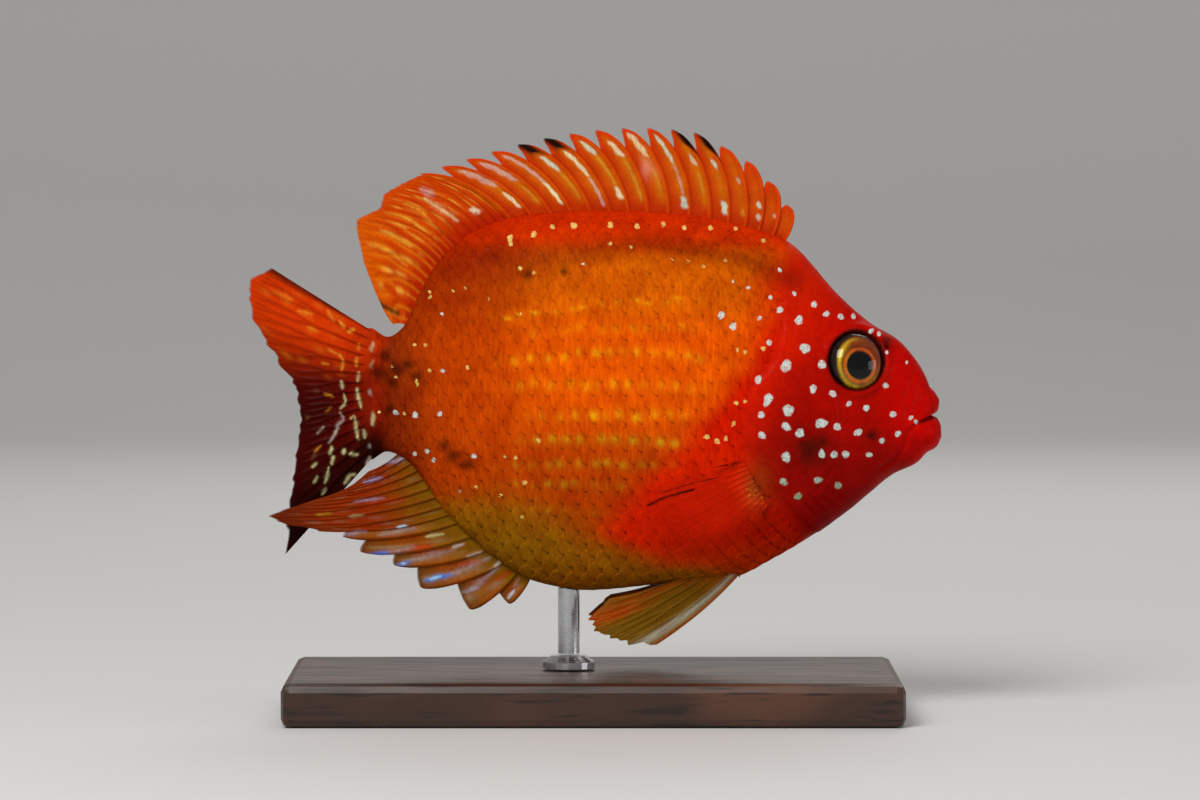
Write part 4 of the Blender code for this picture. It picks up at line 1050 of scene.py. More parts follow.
def gold_rows(x, z, tone, side):
    """Blurred yellow spots in rows along the flank, greener towards the belly."""
    random = np.random.default_rng(17 + side)
    share, band = np.zeros(x.shape), np.zeros(x.shape)
    for heights, start, end, strength, tall in GOLD_ROWS:
        row_z = law(tuple(zip((-10.0, 3.0, 12.0, 18.0), heights)))
        band = np.maximum(band, strength * bump(z - row_z(x), 1.1) * rise(x, start - 4, start + 6)
                          * (1 - rise(x, end - 4, end + 4)))
        for along in np.arange(start, end, ALONG):
            at = along + random.uniform(-0.55, 0.55)
            up = row_z(at) + random.uniform(-0.3, 0.3)
            size, power = random.uniform(0.3, 0.6), random.uniform(0.2, 1.0)
            power *= float(rise(at, start - 2, start + 5) * (1 - rise(at, end - 4, end + 2)))
            spot = strength * min(power, 1) * bump(x - at, size) * bump(z - up, tall)
            share = np.maximum(share, spot)
    warm = rise(z, 36.5, 41.5)[..., None]
    gold = GOLD * warm + GREEN_GOLD * (1 - warm)
    tone = tone * (1 - 0.3 * band[..., None]) + srgb(236, 112, 4) * 0.3 * band[..., None] * warm
    tone = tone + (srgb(150, 92, 8) * 0.3 * band[..., None]) * (1 - warm)
    return blend_in(tone, share, gold)


print(len(GOLD_ROWS), "rows of yellow spots")

# %% [markdown]
# ## One scale, copied to every place
#
# A scale is a round plate with its front under the one before it. Copying an object and
# bending each copy onto the flank would be slow. Here one small grid of points is laid on
# the chart at every place at once, with a little chance in its place, tilt and tone.

# %% One scale, copied to every place
SCALE_ROWS, SCALE_COLUMNS = 8, 8
deep = np.linspace(0, 1, SCALE_ROWS)[:, None]
wide = np.linspace(-1, 1, SCALE_COLUMNS)[None, :]
rear_edge = -1.12 * np.sqrt(1 - (0.96 * wide) ** 2)
local_x = 1.5 + (rear_edge - 1.5) * deep ** 0.8
local_s = 1.72 * wide * (1 - 0.12 * deep ** 3)
lift = np.interp(local_x, (-1.12, 0.0, 1.5), (0.012, 0.0, -0.2)) + 0.012 * (1 - wide ** 2) * deep


def scale_piece(name, side, seed):
    """All the scales of one side, with their own colours."""
    random = np.random.default_rng(seed)
    count = len(places)
    jitter = random.normal(0, 0.05, (count, 2))
    size = places[:, 2, None, None]
    x = places[:, 0, None, None] + jitter[:, 0, None, None] + local_x * size
    s = places[:, 1, None, None] + jitter[:, 1, None, None] + local_s * size
    tilt = random.uniform(0.85, 1.2, count)[:, None, None]
    middle_points = on_chart(chart, x, s)
    normal = on_chart(chart_normal, x, s)
    up = lift * size * tilt
    near_gill = 1 - rise(behind_gill(x, middle_points[..., 2]), 0.0, 2.6)
    up = up - 0.2 * near_gill * (1 - rise(middle_points[..., 2], 54, 57))
    shells = np.stack([middle_points + normal * up[..., None],
                       middle_points + normal * (up - 0.05)[..., None]], 1)
    shells = shells * (1, side, 1)
    cells = SCALE_ROWS * SCALE_COLUMNS
    flat = np.zeros((SCALE_ROWS, SCALE_COLUMNS, 3))
    flat[..., 0], flat[..., 1] = np.mgrid[0:SCALE_ROWS, 0:SCALE_COLUMNS]
    _, one = plate(flat, np.ones((SCALE_ROWS, SCALE_COLUMNS)))
    one = one[:, ::-1] if side > 0 else one
    faces = (one[None] + (np.arange(count) * 2 * cells)[:, None, None]).reshape(-1, 4)
    points = shells.reshape(-1, 3)

    z = middle_points[..., 2]
    tone = body_colour(x, z)
    wedge = random.uniform(0.95, 1.05, count)[:, None, None, None]
    rim = rise(deep, 0.72, 1.0) * np.ones_like(wide)
    tone = tone * wedge * (1 - 0.03 * rim[None, ..., None])
    tone = gold_rows(x, z, tone, side)
    colours = np.repeat(tone[:, None], 2, 1).reshape(-1, 3)
    masks = {label: np.repeat(dot_field(x, z, dots, side)[:, None], 2, 1)
             for label, dots in DOTS.items()}

    root = unwrap(places[:, 0], 0.5 - places[:, 1] / 76)
    patch = np.stack(np.broadcast_arrays(local_x / 2.6, local_s / 3.4), -1) * 0.0028
    uv = root[:, None, None, None] + np.stack([patch, patch + (0, 0.0001)])[None]
    uv[..., 0] += 0.5 * (side > 0)
    piece = make_piece(name, points, faces.tolist(), uv.reshape(-1, 2), scale_finish, colours, masks)
    print(name, "has", len(faces) * 2, "triangles")


scale_piece("scales_left", 1, 31)
scale_piece("scales_right", -1, 32)

# %% [markdown]
# ## Eyes
#
# The eye is a flattened ball with a dark surround, a gold iris with an orange ring and a
# black pupil, under a clear bulging window. A painted ball would look blind. The iris is
# a shallow bowl with the pupil sunk into it, and a separate clear shell bends the light
# over it, as in a glass eye.

# %% Eye finishes
eye_finish, tree, shader = start_material("iris", Roughness=0.5, Specular_IOR_Level=0.05)
fibres = use_group(tree, pigment, Colour=attribute(tree, "tint", "Color"), Patch_size=900.0,
                   Grain_size=5200.0, Upright=1.0, Strength=0.35)
tree.links.new(fibres["Colour"], shader["Base Color"])
tree.links.new(attribute(tree, "metal"), shader["Metallic"])
tree.links.new(emboss(tree, fibres["Grain"], 0.3, 0.05), shader["Normal"])
window_finish, tree, shader = start_material("eye_window", Base_Color=(1, 1, 1, 1), IOR=1.34,
                                             Transmission_Weight=1.0)
film = use_group(tree, grain, Size=900.0, Fine_share=0.2)["Height"]
tree.links.new(ramp(tree, film, 0.0, 1.2, 0.0, 0.03), shader["Roughness"])
print("eye finishes:", eye_finish.name, window_finish.name)

# %% [markdown]
# ## Which way an eye looks
#
# An eye doesn't look straight sideways, it sits square to the slope of the head. Turned by
# hand, the two sides would differ. Here the slope is measured on the flank at the middle
# of the eye, and the directions forward, up and outward are made from it.

# %% Directions of an eye
EYE_RADIUS, EYE_DEPTH, EYE_SUNK = 4.0, 2.4, 0.9


def eye_axes(side):
    """Centre of an eye and its three directions: forward, up and outward."""
    step = 0.4
    px, pz = EYE
    along = (flank(px + step, pz) - flank(px - step, pz)) / (2 * step)
    up_slope = (flank(px, pz + step) - flank(px, pz - step)) / (2 * step)
    out_dir = np.array((-float(along), side, -float(up_slope)))
    out_dir /= np.linalg.norm(out_dir)
    forward = np.array((1.0, 0, 0)) - out_dir[0] * out_dir
    forward /= np.linalg.norm(forward)
    upward = np.cross(out_dir, forward)
    upward *= np.sign(upward[2])
    centre = np.array((px, side * float(flank(px, pz)), pz)) - out_dir * EYE_SUNK
    return centre, forward, upward, out_dir


print("the right eye looks towards", np.round(eye_axes(-1)[3], 2))

# %% [markdown]
# ## The iris
#
# The iris has a bright thin ring, a shaded half and fine fibres, and the pupil is sunk.
# Its relief and its colours have to lie on the same rings. So one function gives both,
# and how metallic each point is, from the directions of the points on the ball.

# %% Rings and fibres of the iris
IRIS_WIDE, IRIS_TALL = 3.2, 3.6


def iris_look(p, q, n):
    """Depth, colour and metal share of the ball where it faces forward p, up q and out n."""
    px, pz = p * EYE_RADIUS - 0.2, q * EYE_RADIUS + 0.36
    iris = np.hypot(px / IRIS_WIDE, pz / IRIS_TALL)
    ring = np.hypot(p * EYE_RADIUS - 0.2, q * EYE_RADIUS + 0.85)
    outer = n > 0
    bowl = 0.16 + 0.2 * bump(ring - 2.2, 0.45) + 0.4 * (1 - rise(ring, 1.75, 2.0))
    sink = np.where(outer, bowl, 0.0) + np.where(outer, 0.14 * rise(iris, 0.98, 1.06), 0.0)
    angle = np.arctan2(pz, px)
    fibre = 0.5 + 0.5 * np.sin(angle * 46 + 2.0 * np.sin(angle * 9))
    bright = bump(iris - 0.9, 0.08) * rise(-np.cos(angle), -0.35, 0.5)
    shaded = 0.88 * rise(np.cos(angle - 1.0), -0.35, 0.55) * (1 - 0.5 * bright)
    around, pupil = rise(iris, 0.96, 1.05), 1 - rise(ring, 1.84, 1.98)
    tone = layered(srgb(214, 156, 10) * (0.7 + 0.4 * fibre[..., None]),
                   (0.9 * bright, (255, 222, 40)), (shaded, (156, 44, 5)),
                   (0.7 * bump(ring - 2.5, 0.35), (120, 40, 6)),
                   (bump(ring - 2.22, 0.17), (244, 104, 14)),
                   (around, (30, 11, 6)), (pupil, (3, 2, 3)))
    tone = np.where(outer[..., None], tone, srgb(22, 10, 6))
    return sink, tone, 0.35 * (1 - around) * (1 - pupil) * outer


print("the iris is", 2 * IRIS_WIDE, "by", 2 * IRIS_TALL, "mm")

# %% [markdown]
# ## Ball and window
#
# The ball and the window over it have the same rings of points. Only their radius, their
# depth and the sunk iris differ, so one helper shapes both. Fans of triangles close them
# at their poles. Blender's own sphere would have to be bent afterwards, point by point.

# %% Eye pieces


def eye_pieces(label, side):
    """The coloured ball and the clear window of one eye."""
    centre, forward, upward, out_dir = eye_axes(side)
    lat = np.linspace(0, math.pi, 76)[1:-1, None]
    lon = np.linspace(0, 2 * math.pi, 97)[None, :-1]
    p = np.sin(lat) * np.cos(lon)
    q = np.sin(lat) * np.sin(lon)
    n = np.cos(lat) * np.ones_like(lon)

    def ball(radius, depth, sink):
        local = np.stack([p * radius, q * radius, n * depth - sink], -1)
        poles = np.array([[0, 0, depth - sink[0, 0]], [0, 0, -depth]])
        local = np.vstack([local.reshape(-1, 3), poles])
        return centre + local[:, :1] * forward + local[:, 1:2] * upward + local[:, 2:] * out_dir

    rows, columns = n.shape
    order = np.arange(rows * columns).reshape(rows, columns)
    quads = grid_faces(np.concatenate([order, order[:, :1]], 1))
    top, low = rows * columns, rows * columns + 1
    fans = [[top, order[0, k], order[0, (k + 1) % columns]] for k in range(columns)]
    fans += [[low, order[-1, (k + 1) % columns], order[-1, k]] for k in range(columns)]
    faces = quads.tolist() + fans
    turned = np.dot(np.cross(forward, upward), out_dir) < 0
    faces = [f[::-1] for f in faces] if turned else faces

    sink, tone, metal = iris_look(p, q, n)
    colours = np.vstack([tone.reshape(-1, 3), srgb(4, 3, 4), srgb(22, 10, 6)])
    masks = {"metal": np.concatenate([metal.ravel(), [0, 0]])}
    uv = np.stack([0.5 + 0.4 * p, 0.25 + 0.2 * q + 0.5 * (n < 0)], -1).reshape(-1, 2)
    uv = np.vstack([uv, [0.5, 0.25], [0.5, 0.75]])
    ball_piece = make_piece("eye_ball_" + label, ball(EYE_RADIUS - 0.08, EYE_DEPTH - 0.12, sink),
                            faces, uv, eye_finish, colours, masks)
    window = make_piece("eye_window_" + label, ball(EYE_RADIUS, EYE_DEPTH, np.zeros_like(n)),
                        faces, uv, window_finish)
    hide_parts("eye_" + label)


eye_pieces("left", 1)
eye_pieces("right", -1)
print("an eye is", 2 * EYE_RADIUS, "mm across")

# %% [markdown]
# ## How fins are built
#
# A fin is a thin web held up by rays. Soft rays fork towards the edge, and the web ends
# in a slightly frayed edge between them. A flat card with a see-through picture is the
# usual shortcut, and it vanishes when seen edge on. Here each fin is a closed sheet with
# the rays raised in both faces, dense enough to carry its own streaks and colours.

# %% Ray geometry


def ray_grid(root, angle, length, bow, share, sideways):
    """Points along rays: each has a root, an angle from the snout, a length and a bow."""
    outward = np.maximum(share, 0)[None, :]
    heading = np.radians(angle[:, None] + bow[:, None] * (1 - outward))
    run = length[:, None] * share[None, :]
    x = root[:, :1] + run * np.cos(heading)
    z = root[:, 1:2] + run * np.sin(heading)
    return np.stack([x, sideways(x, z, outward), z], -1)


def over_fin(u, share):
    """How far along the rays and how far across the fin each point of its grid lies."""
    along = np.maximum(share, 0)[None, :] + 0 * u[:, None]
    return along, u[:, None] + 0 * along


def forked(u, share, rays, first=0.42, second=0.74):
    """Distance to the nearest branch of a ray, in spacings: each ray forks twice."""
    spot = u[:, None] * (rays - 1)
    near = np.abs(spot - np.round(spot)) * np.ones_like(share[None, :])
    spread = 0.25 * rise(share, first, first + 0.3)[None, :]
    spread_more = 0.125 * rise(share, second, second + 0.2)[None, :]
    offset = spot - np.round(spot)
    best = np.full(near.shape, 9.0)
    for one in (-1, 1):
        for two in (-1, 1):
            best = np.minimum(best, np.abs(offset - one * spread - two * spread_more))
    return best


def dashes(u, share, columns, rows, keep, seed, long=0.3, wide=0.2):
    """Streaks along the rays of a fin, one in some cells of a grid over it."""
    random = np.random.default_rng(seed)
    there = random.uniform(0, 1, (columns + 2, rows + 2)) < keep
    du = random.uniform(0.35, 0.65, there.shape)
    dv = random.uniform(0.3, 0.7, there.shape)
    power = random.uniform(0.5, 1.0, there.shape)
    a, b = np.broadcast_arrays(u[:, None] * columns, np.maximum(share, 0)[None, :] * rows)
    i, j = a.astype(int), b.astype(int)
    return there[i, j] * power[i, j] * bump(a - i - du[i, j], wide) * bump(b - j - dv[i, j], long)


spread = forked(np.array([0.5]), np.array([0.0, 1.0]), 3)
print("halfway between two rays, in spacings from a branch:", np.round(spread, 2))

# %% [markdown]
# ## The finish of a fin
#
# A fin is clearest in the web between two rays, and clearer still where it ends. Glass
# would bend the light far too much for so thin a skin. So the web is partly transparent:
# a value on the mesh says how solid each point is, and two ramps turn it into cover.

# %% Fin finish


def fin_material(name, clear, roughness=0.38):
    """Thin web with raised rays: glossy, a little see-through between the rays."""
    material, tree, shader = start_material(name, Specular_IOR_Level=0.01, Coat_Weight=0.015,
                                            Coat_Roughness=0.12, Coat_IOR=1.36)
    base = use_group(tree, pigment, Colour=attribute(tree, "tint", "Color"), Patch_size=500.0,
                     Grain_size=3800.0, Upright=1.0, Strength=0.2)
    tree.links.new(base["Colour"], shader["Base Color"])
    solid = attribute(tree, "solid")
    cover = maths(tree, "MULTIPLY", ramp(tree, solid, 0.0, 1.0, clear, 1.0),
                  ramp(tree, solid, -1.0, 0.0, 0.15, 1.0))
    tree.links.new(cover, shader["Alpha"])
    tree.links.new(ramp(tree, base["Grain"], 0.2, 0.8, roughness + 0.08, roughness - 0.06),
                   shader["Roughness"])
    tree.links.new(emboss(tree, base["Grain"], 0.4, 0.03), shader["Normal"])
    return material


def fin_piece(name, parts, material, slot, *nodes):
    """A fin of closed sheets (points, thickness, colours, cover), for its plain solid."""
    shells, faces, uv, tints, covers, start = [], [], [], [], [], 0
    for number, (sheet, thick, tone, solid) in enumerate(parts):
        shell, around = plate(sheet, thick)
        shells.append(shell)
        faces.append(around + start)
        start += len(shell)
        rows, columns = thick.shape
        grid = np.stack(np.meshgrid(np.linspace(0, 1, rows), np.linspace(0, 1, columns),
                                    indexing="ij"), -1).reshape(-1, 2)
        left = (number + 0.05) / len(parts)
        grid = grid * (0.9 / len(parts), 0.46) + (left, 0.02)
        uv += [grid, grid + (0, 0.5)]
        tints.append(np.tile(tone.reshape(-1, 3), (2, 1)))
        covers.append(np.tile(solid.ravel(), 2))
    piece = make_piece(name, np.vstack(shells), np.vstack(faces).tolist(), np.vstack(uv), material,
                       np.vstack(tints), {"solid": np.concatenate(covers)}, sharp=50)
    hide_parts(*nodes)
    print(name, "has", 2 * sum(len(part) for part in faces), "triangles")


def faded_rim(solid, u, share):
    """Cover of the web, thinning out at the free edge between the spines or rays."""
    rim = np.maximum(rise(share, 0.955, 1.0), rise(u, 0.9, 0.98)) * (1 - bump(u, 0.08))
    return np.clip(solid, 0, 1) * (1 - rim) - 0.8 * rim


def in_middle(x, z, share):
    """A fin that stands in the middle plane of the fish."""
    return np.zeros_like(x * share)


dorsal_finish = fin_material("dorsal_web", 0.93)
tail_finish = fin_material("tail_web", 0.99)
anal_finish = fin_material("anal_web", 0.975)
side_finish = fin_material("side_fin_web", 0.04, 0.4)
pelvic_finish = fin_material("pelvic_web", 0.8)
print("clearest fin:", side_finish.name, "and densest:", tail_finish.name)

# %% [markdown]
# ## Spiny fins
#
# The front of the dorsal fin is a row of hard spines. Each carries a flap of web behind
# it that reaches back to the next spine, and the tips of the flaps stand free, which
# gives the saw-toothed edge. Pearly streaks with a yellow glow run up the flaps.

# %% Leaves between spines
leaf_height = law(((-0.14, 0.76), (-0.04, 0.87), (0.08, 0.94), (0.24, 0.985), (0.36, 1.0),
                   (0.5, 0.965), (0.7, 0.85), (0.98, 0.70)))


def leaf(number, root_of, angle_of, length_of, bow, sideways, tips=leaf_height, last=False):
    """Middle points, thickness and grid places of one spine with its web."""
    u = np.linspace(-0.14, 0.3 if last else 0.98, 14 if last else 30)
    share = np.concatenate([[-0.16, -0.08], np.linspace(0, 1, 64) ** 0.92])
    height = tips(u)
    angle = angle_of(number + np.maximum(u, 0)) + bow * (1 - height)
    length = length_of(number + 0 * u) * height
    root = np.column_stack(root_of(number + u))
    grid = ray_grid(root, angle, length, bow * height, share, sideways)
    spacing = abs(float(root_of(number + 0.5)[0] - root_of(number - 0.5)[0]))
    spine = bump(u[:, None] * spacing, 0.2) * (1 - 0.55 * share[None, :])
    web = 0.3 - 0.14 * share[None, :]
    thin = 1 - 0.6 * rise(share, 0.93, 1.0)[None, :]
    ribs = 0.03 * np.sin(u[:, None] * 24) * rise(share, 0.1, 0.4)[None, :]
    thick = (web + 0.62 * spine + ribs) * thin * (1 - 0.5 * rise(u, 0.85, 0.98)[:, None])
    grid[..., 1] += 0.16 * (np.maximum(u, 0)[:, None] - 0.3) * rise(share, 0.05, 0.5)[None, :]
    along, across = over_fin(u, share)
    return grid, thick, across, along


print("at its rear edge a flap has", float(leaf_height(0.98)), "of its full height")

# %% [markdown]
# ## Spiny part of the dorsal fin
#
# Sixteen spines stand along the back, upright at the front and laid back at the rear.
# Place, angle and length of a spine are smooth laws of its number, read off the side
# view, so that no flap stands out. The pearly streaks are listed flap by flap, because
# their pattern can be seen from far away.

# %% Dorsal spines and their streaks
DORSAL_SPINES, DORSAL_BOW = 16, -22.0
dorsal_place = law(((-1, 27.2), (0, 26.3), (2, 22.7), (3, 20.8), (5, 15.9), (8, 7.4), (11, -0.5),
                    (16, -14.4)))
dorsal_angle = law(((0, 76), (1, 87), (2, 94), (4, 106), (7, 113), (10, 127), (13, 143), (15, 152)))
dorsal_length = law(((0, 4.6), (1, 7.1), (2, 9.4), (3, 11.1), (4, 12.6), (14, 12.8), (15, 13.3)))


def dorsal_root(number):
    x = dorsal_place(number)
    return x, back(x)


SHELL, MINT = srgb(232, 222, 176), srgb(196, 222, 196)
LAVENDER, AMBER = srgb(206, 170, 160), srgb(206, 158, 52)
# For each flap: streaks from one share of its height to another, with width, strength and tone.
PEARL_STREAKS = {
    1: ((.3, .4, .14, .5, MINT),),
    2: ((.12, .24, .15, .7, MINT), (.3, .42, .14, .9, MINT)),
    3: ((.1, .22, .12, .5, AMBER), (.5, .6, .1, .4, MINT)),
    4: ((.06, .22, .17, 1.0, MINT), (.56, .68, .12, .8, MINT)),
    5: ((.25, .5, .08, .4, AMBER), (.56, .7, .12, .6, MINT)),
    6: ((.05, .2, .17, 1.0, MINT), (.2, .55, .07, .5, LAVENDER),
        (.55, .92, .09, .8, MINT)),
    7: ((.2, .5, .07, .3, AMBER), (.62, .94, .14, .7, SHELL)),
    8: ((.1, .6, .08, .45, AMBER), (.62, .84, .13, .85, SHELL)),
    9: ((.12, .28, .15, 1.0, SHELL), (.28, .66, .07, .6, AMBER),
        (.66, .88, .12, .8, MINT)),
    10: ((.03, .4, .09, .75, LAVENDER), (.4, .78, .11, .9, SHELL)),
    11: ((.15, .52, .07, .4, AMBER), (.5, .76, .12, .8, MINT)),
    12: ((.08, .4, .1, 1.0, SHELL), (.38, .9, .1, .75, LAVENDER)),
    13: ((.12, .4, .07, .4, AMBER), (.46, .88, .17, .75, LAVENDER)),
    14: ((.08, .34, .11, .9, SHELL), (.42, .84, .19, .7, LAVENDER)),
    15: ((.35, .7, .08, .4, AMBER),)}
BLACK_TIPS, ROSY_FLAP = (4, 5, 10, 11), 7
print("streaks on", len(PEARL_STREAKS), "flaps of", DORSAL_SPINES)

# %% [markdown]
# ## Colours of the spiny dorsal
#
# Each flap is orange in its middle and red at its edges, with a yellow glow round its
# streak, and some tips are black. One blend over the whole fin would smear these borders,
# so each flap is coloured by itself.

# %% Build the spiny dorsal


def dorsal_colour(number, u, share):
    """Orange web, red at its edges, with a pearly streak and here and there a black tip."""
    centre = 0.2 + 0.14 * share
    glow = rise(share, 0.04, 0.2) * (1 - rise(share, 0.8, 0.97)) * bump(u - centre, 0.22)
    tone = layered(plain(u, 196, 54, 2),
                   (0.75 * bump(share - 0.05, 0.22), (184, 40, 2)),
                   (0.8 * bump(u - 0.45, 0.3) * bump(share - 0.45, 0.3), (208, 84, 6)),
                   (0.7 * rise(share, 0.7, 1.0), (212, 56, 2)),
                   (0.65 * rise(u, 0.74, 0.96) * (1 - 0.4 * share), (140, 22, 2)),
                   (0.5 * bump(u, 0.07), (224, 84, 6)),
                   (0.6 * glow * rise(number, 1, 5), (206, 120, 12)))
    streak = np.zeros(u.shape)
    for start, end, width, strength, streak_tone in PEARL_STREAKS.get(number, ()):
        fray = 1 + 0.25 * np.sin(share * 41 + 3 * number)
        part = rise(share, start - 0.03, start + 0.06) * (1 - rise(share, end - 0.06, end + 0.03))
        part = strength * rise(part * bump(u - centre, width * fray), 0.14, 0.72)
        part = part * (0.86 + 0.14 * np.sin(share * 67 + u * 40))
        tone = blend_in(tone, part, streak_tone)
        streak = np.maximum(streak, part)
    if number in BLACK_TIPS:
        black = rise(share, 0.76, 0.86) * bump(u - (0.1 if number < 6 else 0.3), 0.26)
        tone = layered(tone, (np.clip(1.2 * black, 0, 1), (34, 12, 6)))
    if number == ROSY_FLAP:
        tone = layered(tone, (0.8 * bump(u - 0.5, 0.3) * bump(share - 0.52, 0.1), (224, 130, 100)))
    solid = 0.25 + 0.75 * bump(u, 0.12) + 0.5 * streak
    return tone, faded_rim(solid, u, share)


flaps = []
for number in range(DORSAL_SPINES):
    grid, thick, u, share = leaf(number, dorsal_root, dorsal_angle, dorsal_length, DORSAL_BOW,
                                 in_middle, last=number == DORSAL_SPINES - 1)
    flaps.append((grid, thick, *dorsal_colour(number, u, share)))
fin_piece("dorsal_spines", flaps, dorsal_finish, "dorsal_fin", "dorsal_fin_spiny")

# %% [markdown]
# ## Fans with forked rays
#
# The tail, the paired fins and the rear of the dorsal and anal fins are fans of soft rays.
# Modelling each on its own would give five kinds of rays. Here two helpers make them all:
# one lays out the points, with a slightly torn edge, the other gives the thickness.

# %% Fans of soft rays


def soft_grid(rays, per_ray, rows, root_of, angle_of, length_of, bow, sideways, fray=0.03, seed=1):
    """Grid of a soft-rayed fin, and the closeness of each point to a ray."""
    u = np.linspace(0, 1, (rays - 1) * per_ray + 1)
    share = np.concatenate([[-0.14, -0.07], np.linspace(0, 1, rows)])
    random = np.random.default_rng(seed)
    ragged = np.interp(u, np.linspace(0, 1, 4 * rays), random.uniform(-1, 0, 4 * rays))
    scallop = -np.abs(np.sin(math.pi * u * (rays - 1)))
    length = length_of(u) * (1 + fray * (0.5 * scallop + 0.8 * ragged))
    grid = ray_grid(root_of(u), angle_of(u), length, bow + 0 * u, share, sideways)
    near = forked(u, share, rays)
    return grid, u, share, near


def soft_thick(near, share, root=0.62, edge=0.2, web=0.22, ray_wide=0.13):
    """Thickness of a soft fin: web, forked rays and a thin edge."""
    base = web * (1 - 0.45 * np.maximum(share, 0))[None, :]
    ray = (root + (edge - root) * np.maximum(share, 0))[None, :] * bump(near, ray_wide)
    edge_thin = (1 - 0.55 * rise(share, 0.94, 1.0))[None, :]
    return (base + ray) * edge_thin


middle_of_ray = soft_thick(np.zeros((1, 1)), np.zeros(1))[0, 0]
print("a soft ray is", round(float(middle_of_ray), 2), "mm thick at its root")

# %% [markdown]
# ## Soft part of the dorsal fin
#
# Behind the spines the fin goes on as a round, soft fan with rows of yellow-olive dashes
# between its rays. Most of the dashes are left to chance. The few broad pale ones that
# can be told apart are placed.

# %% Soft dorsal
SOFT_START, SOFT_END = -12.1, -25.9
soft_angle = law(((0, 151.5), (0.2, 150), (0.4, 152), (0.55, 151), (0.66, 153.6), (0.77, 156.3),
                  (0.87, 159), (0.93, 165), (1, 180)))
soft_length = law(((0, 13.0), (0.2, 12.5), (0.4, 12.6), (0.55, 11.4), (0.66, 12.6), (0.77, 10.3),
                   (0.87, 7.3), (0.93, 4.8), (1, 1.6)))
SOFT_MARKS = (
    (-16.8, 69.4, -15.8, 69.1, .46, 1.0, srgb(232, 226, 190)),
    (-23.2, 70.9, -20.8, 69.4, -18.6, 67.8, .34, .85, srgb(224, 186, 130)),
    (-23.7, 72.1, -22.0, 71.5, .5, .6, PALE), (-26.1, 70.3, -24.0, 69.4, -22.2, 67.6, .28, .7, STRAW),
    (-27.4, 68.8, -25.6, 68.2, -24.0, 67.2, .26, .7, STRAW), (-27.8, 65.9, -25.1, 64.3, .3, .7, STRAW),
    (-29.8, 64.6, -27.6, 63.4, -25.6, 61.6, .26, .7, STRAW), (-17.4, 73.6, -15.2, 72.0, .4, .6, PALE))


def soft_root(u):
    x = SOFT_START + (SOFT_END - SOFT_START) * u
    return np.column_stack([x, back(x)])


grid, u, share, near = soft_grid(13, 14, 84, soft_root, soft_angle, soft_length, DORSAL_BOW,
                                 in_middle, fray=0.016, seed=51)
along, across = over_fin(u, share)
spots = dashes(u, share, 15, 4, 0.75, 52, long=0.42, wide=0.14) * (1 - rise(along, 0.8, 0.95))
spots = 0.9 * spots * rise(along, 0.12, 0.3)
tone = layered(plain(near, 204, 66, 2),
               (0.85 * (1 - rise(along, 0.0, 0.4)), (176, 24, 1)),
               (0.5 * rise(along, 0.7, 1.0), (214, 82, 3)),
               (0.75 * rise(across, 0.5, 0.75) * rise(along, 0.5, 0.95), (224, 102, 3)),
               (0.4 * bump(near, 0.09), (166, 34, 2)),
               (0.35 * bump(near - 0.28, 0.07) * rise(across, 0.4, 0.7), (240, 150, 20)),
               (np.clip(spots, 0, 1), (222, 160, 56)))
x, z = grid[..., 0], grid[..., 2]
tone = strokes(tone, x, z, SOFT_MARKS)
gap, _ = line_distance(x, z, smooth_line(((-30.4, 57.2), (-28.6, 56.0), (-26.9, 55.1))))
tone = layered(tone, (0.85 * bump(gap, 0.35), (30, 12, 6)))
solid = faded_rim(0.3 + 0.7 * bump(near, 0.16) + spots, 0.5 + 0 * along, along)
fin_piece("dorsal_soft", [(grid, soft_thick(near, share), tone, solid)], dorsal_finish,
          "dorsal_fin", "dorsal_fin_soft")

# %% [markdown]
# ## Tail fin
#
# The tail is a red fan, bright at its top edge and dark below, crossed by two wavy pale
# lines near its root. It swings a little to the left, more in its lower half. The same
# law of sideways swing bends the end of the body, so that no step shows between them.

# %% Tail
tail_angle = law(((0, 148), (0.2, 162), (0.35, 177), (0.5, 189), (0.7, 202), (0.85, 215), (1, 228)))
tail_length = law(((0, 17.2), (0.08, 19.3), (0.18, 18.0), (0.3, 13.5), (0.42, 10.3), (0.55, 9.9),
                   (0.7, 11.0), (0.85, 14.0), (1, 18.7)))


def tail_root(u):
    z = TAIL_TOP + (TAIL_BOTTOM - TAIL_TOP) * u
    return np.column_stack([TAIL_ROOT_X - np.sin(math.pi * u), z])


grid, u, share, near = soft_grid(16, 14, 96, tail_root, tail_angle, tail_length, 0.0, tail_sideways,
                                 fray=0.04, seed=61)
x, z = grid[..., 0], grid[..., 2]
along, across = over_fin(u, share)
tone = tail_tone(across, along)
tone = blend_in(tone, 0.45 * bump(near, 0.1), 0.35 * tone)
tone = strokes(tone, x, z, TAIL_MARKS)
spots = dashes(u, share, 15, 6, 0.5, 62, long=0.2, wide=0.16) * rise(along, 0.3, 0.45)
spots = spots * (1 - rise(along, 0.9, 1.0)) * rise(across, 0.3, 0.6) * rise(-x, 36.4, 37.4)
faint = dashes(u, share, 15, 5, 0.6, 64, long=0.25, wide=0.2) * (1 - rise(across, 0.3, 0.45))
tone = layered(tone, (np.clip(0.4 * spots, 0, 1), (140, 100, 70)),
               (0.3 * np.clip(faint, 0, 1), (222, 124, 30)),
               (0.85 * (1 - rise(across, 0.0, 0.035)) * rise(along, 0.15, 0.4), (38, 16, 8)))
solid = faded_rim(0.35 + 0.65 * bump(near, 0.16) + spots, 0.5 + 0 * along, along)
fin_piece("tail_fin", [(grid, soft_thick(near, share, root=0.75), tone, solid)], tail_finish,
          "tail_fin", "caudal_fin")
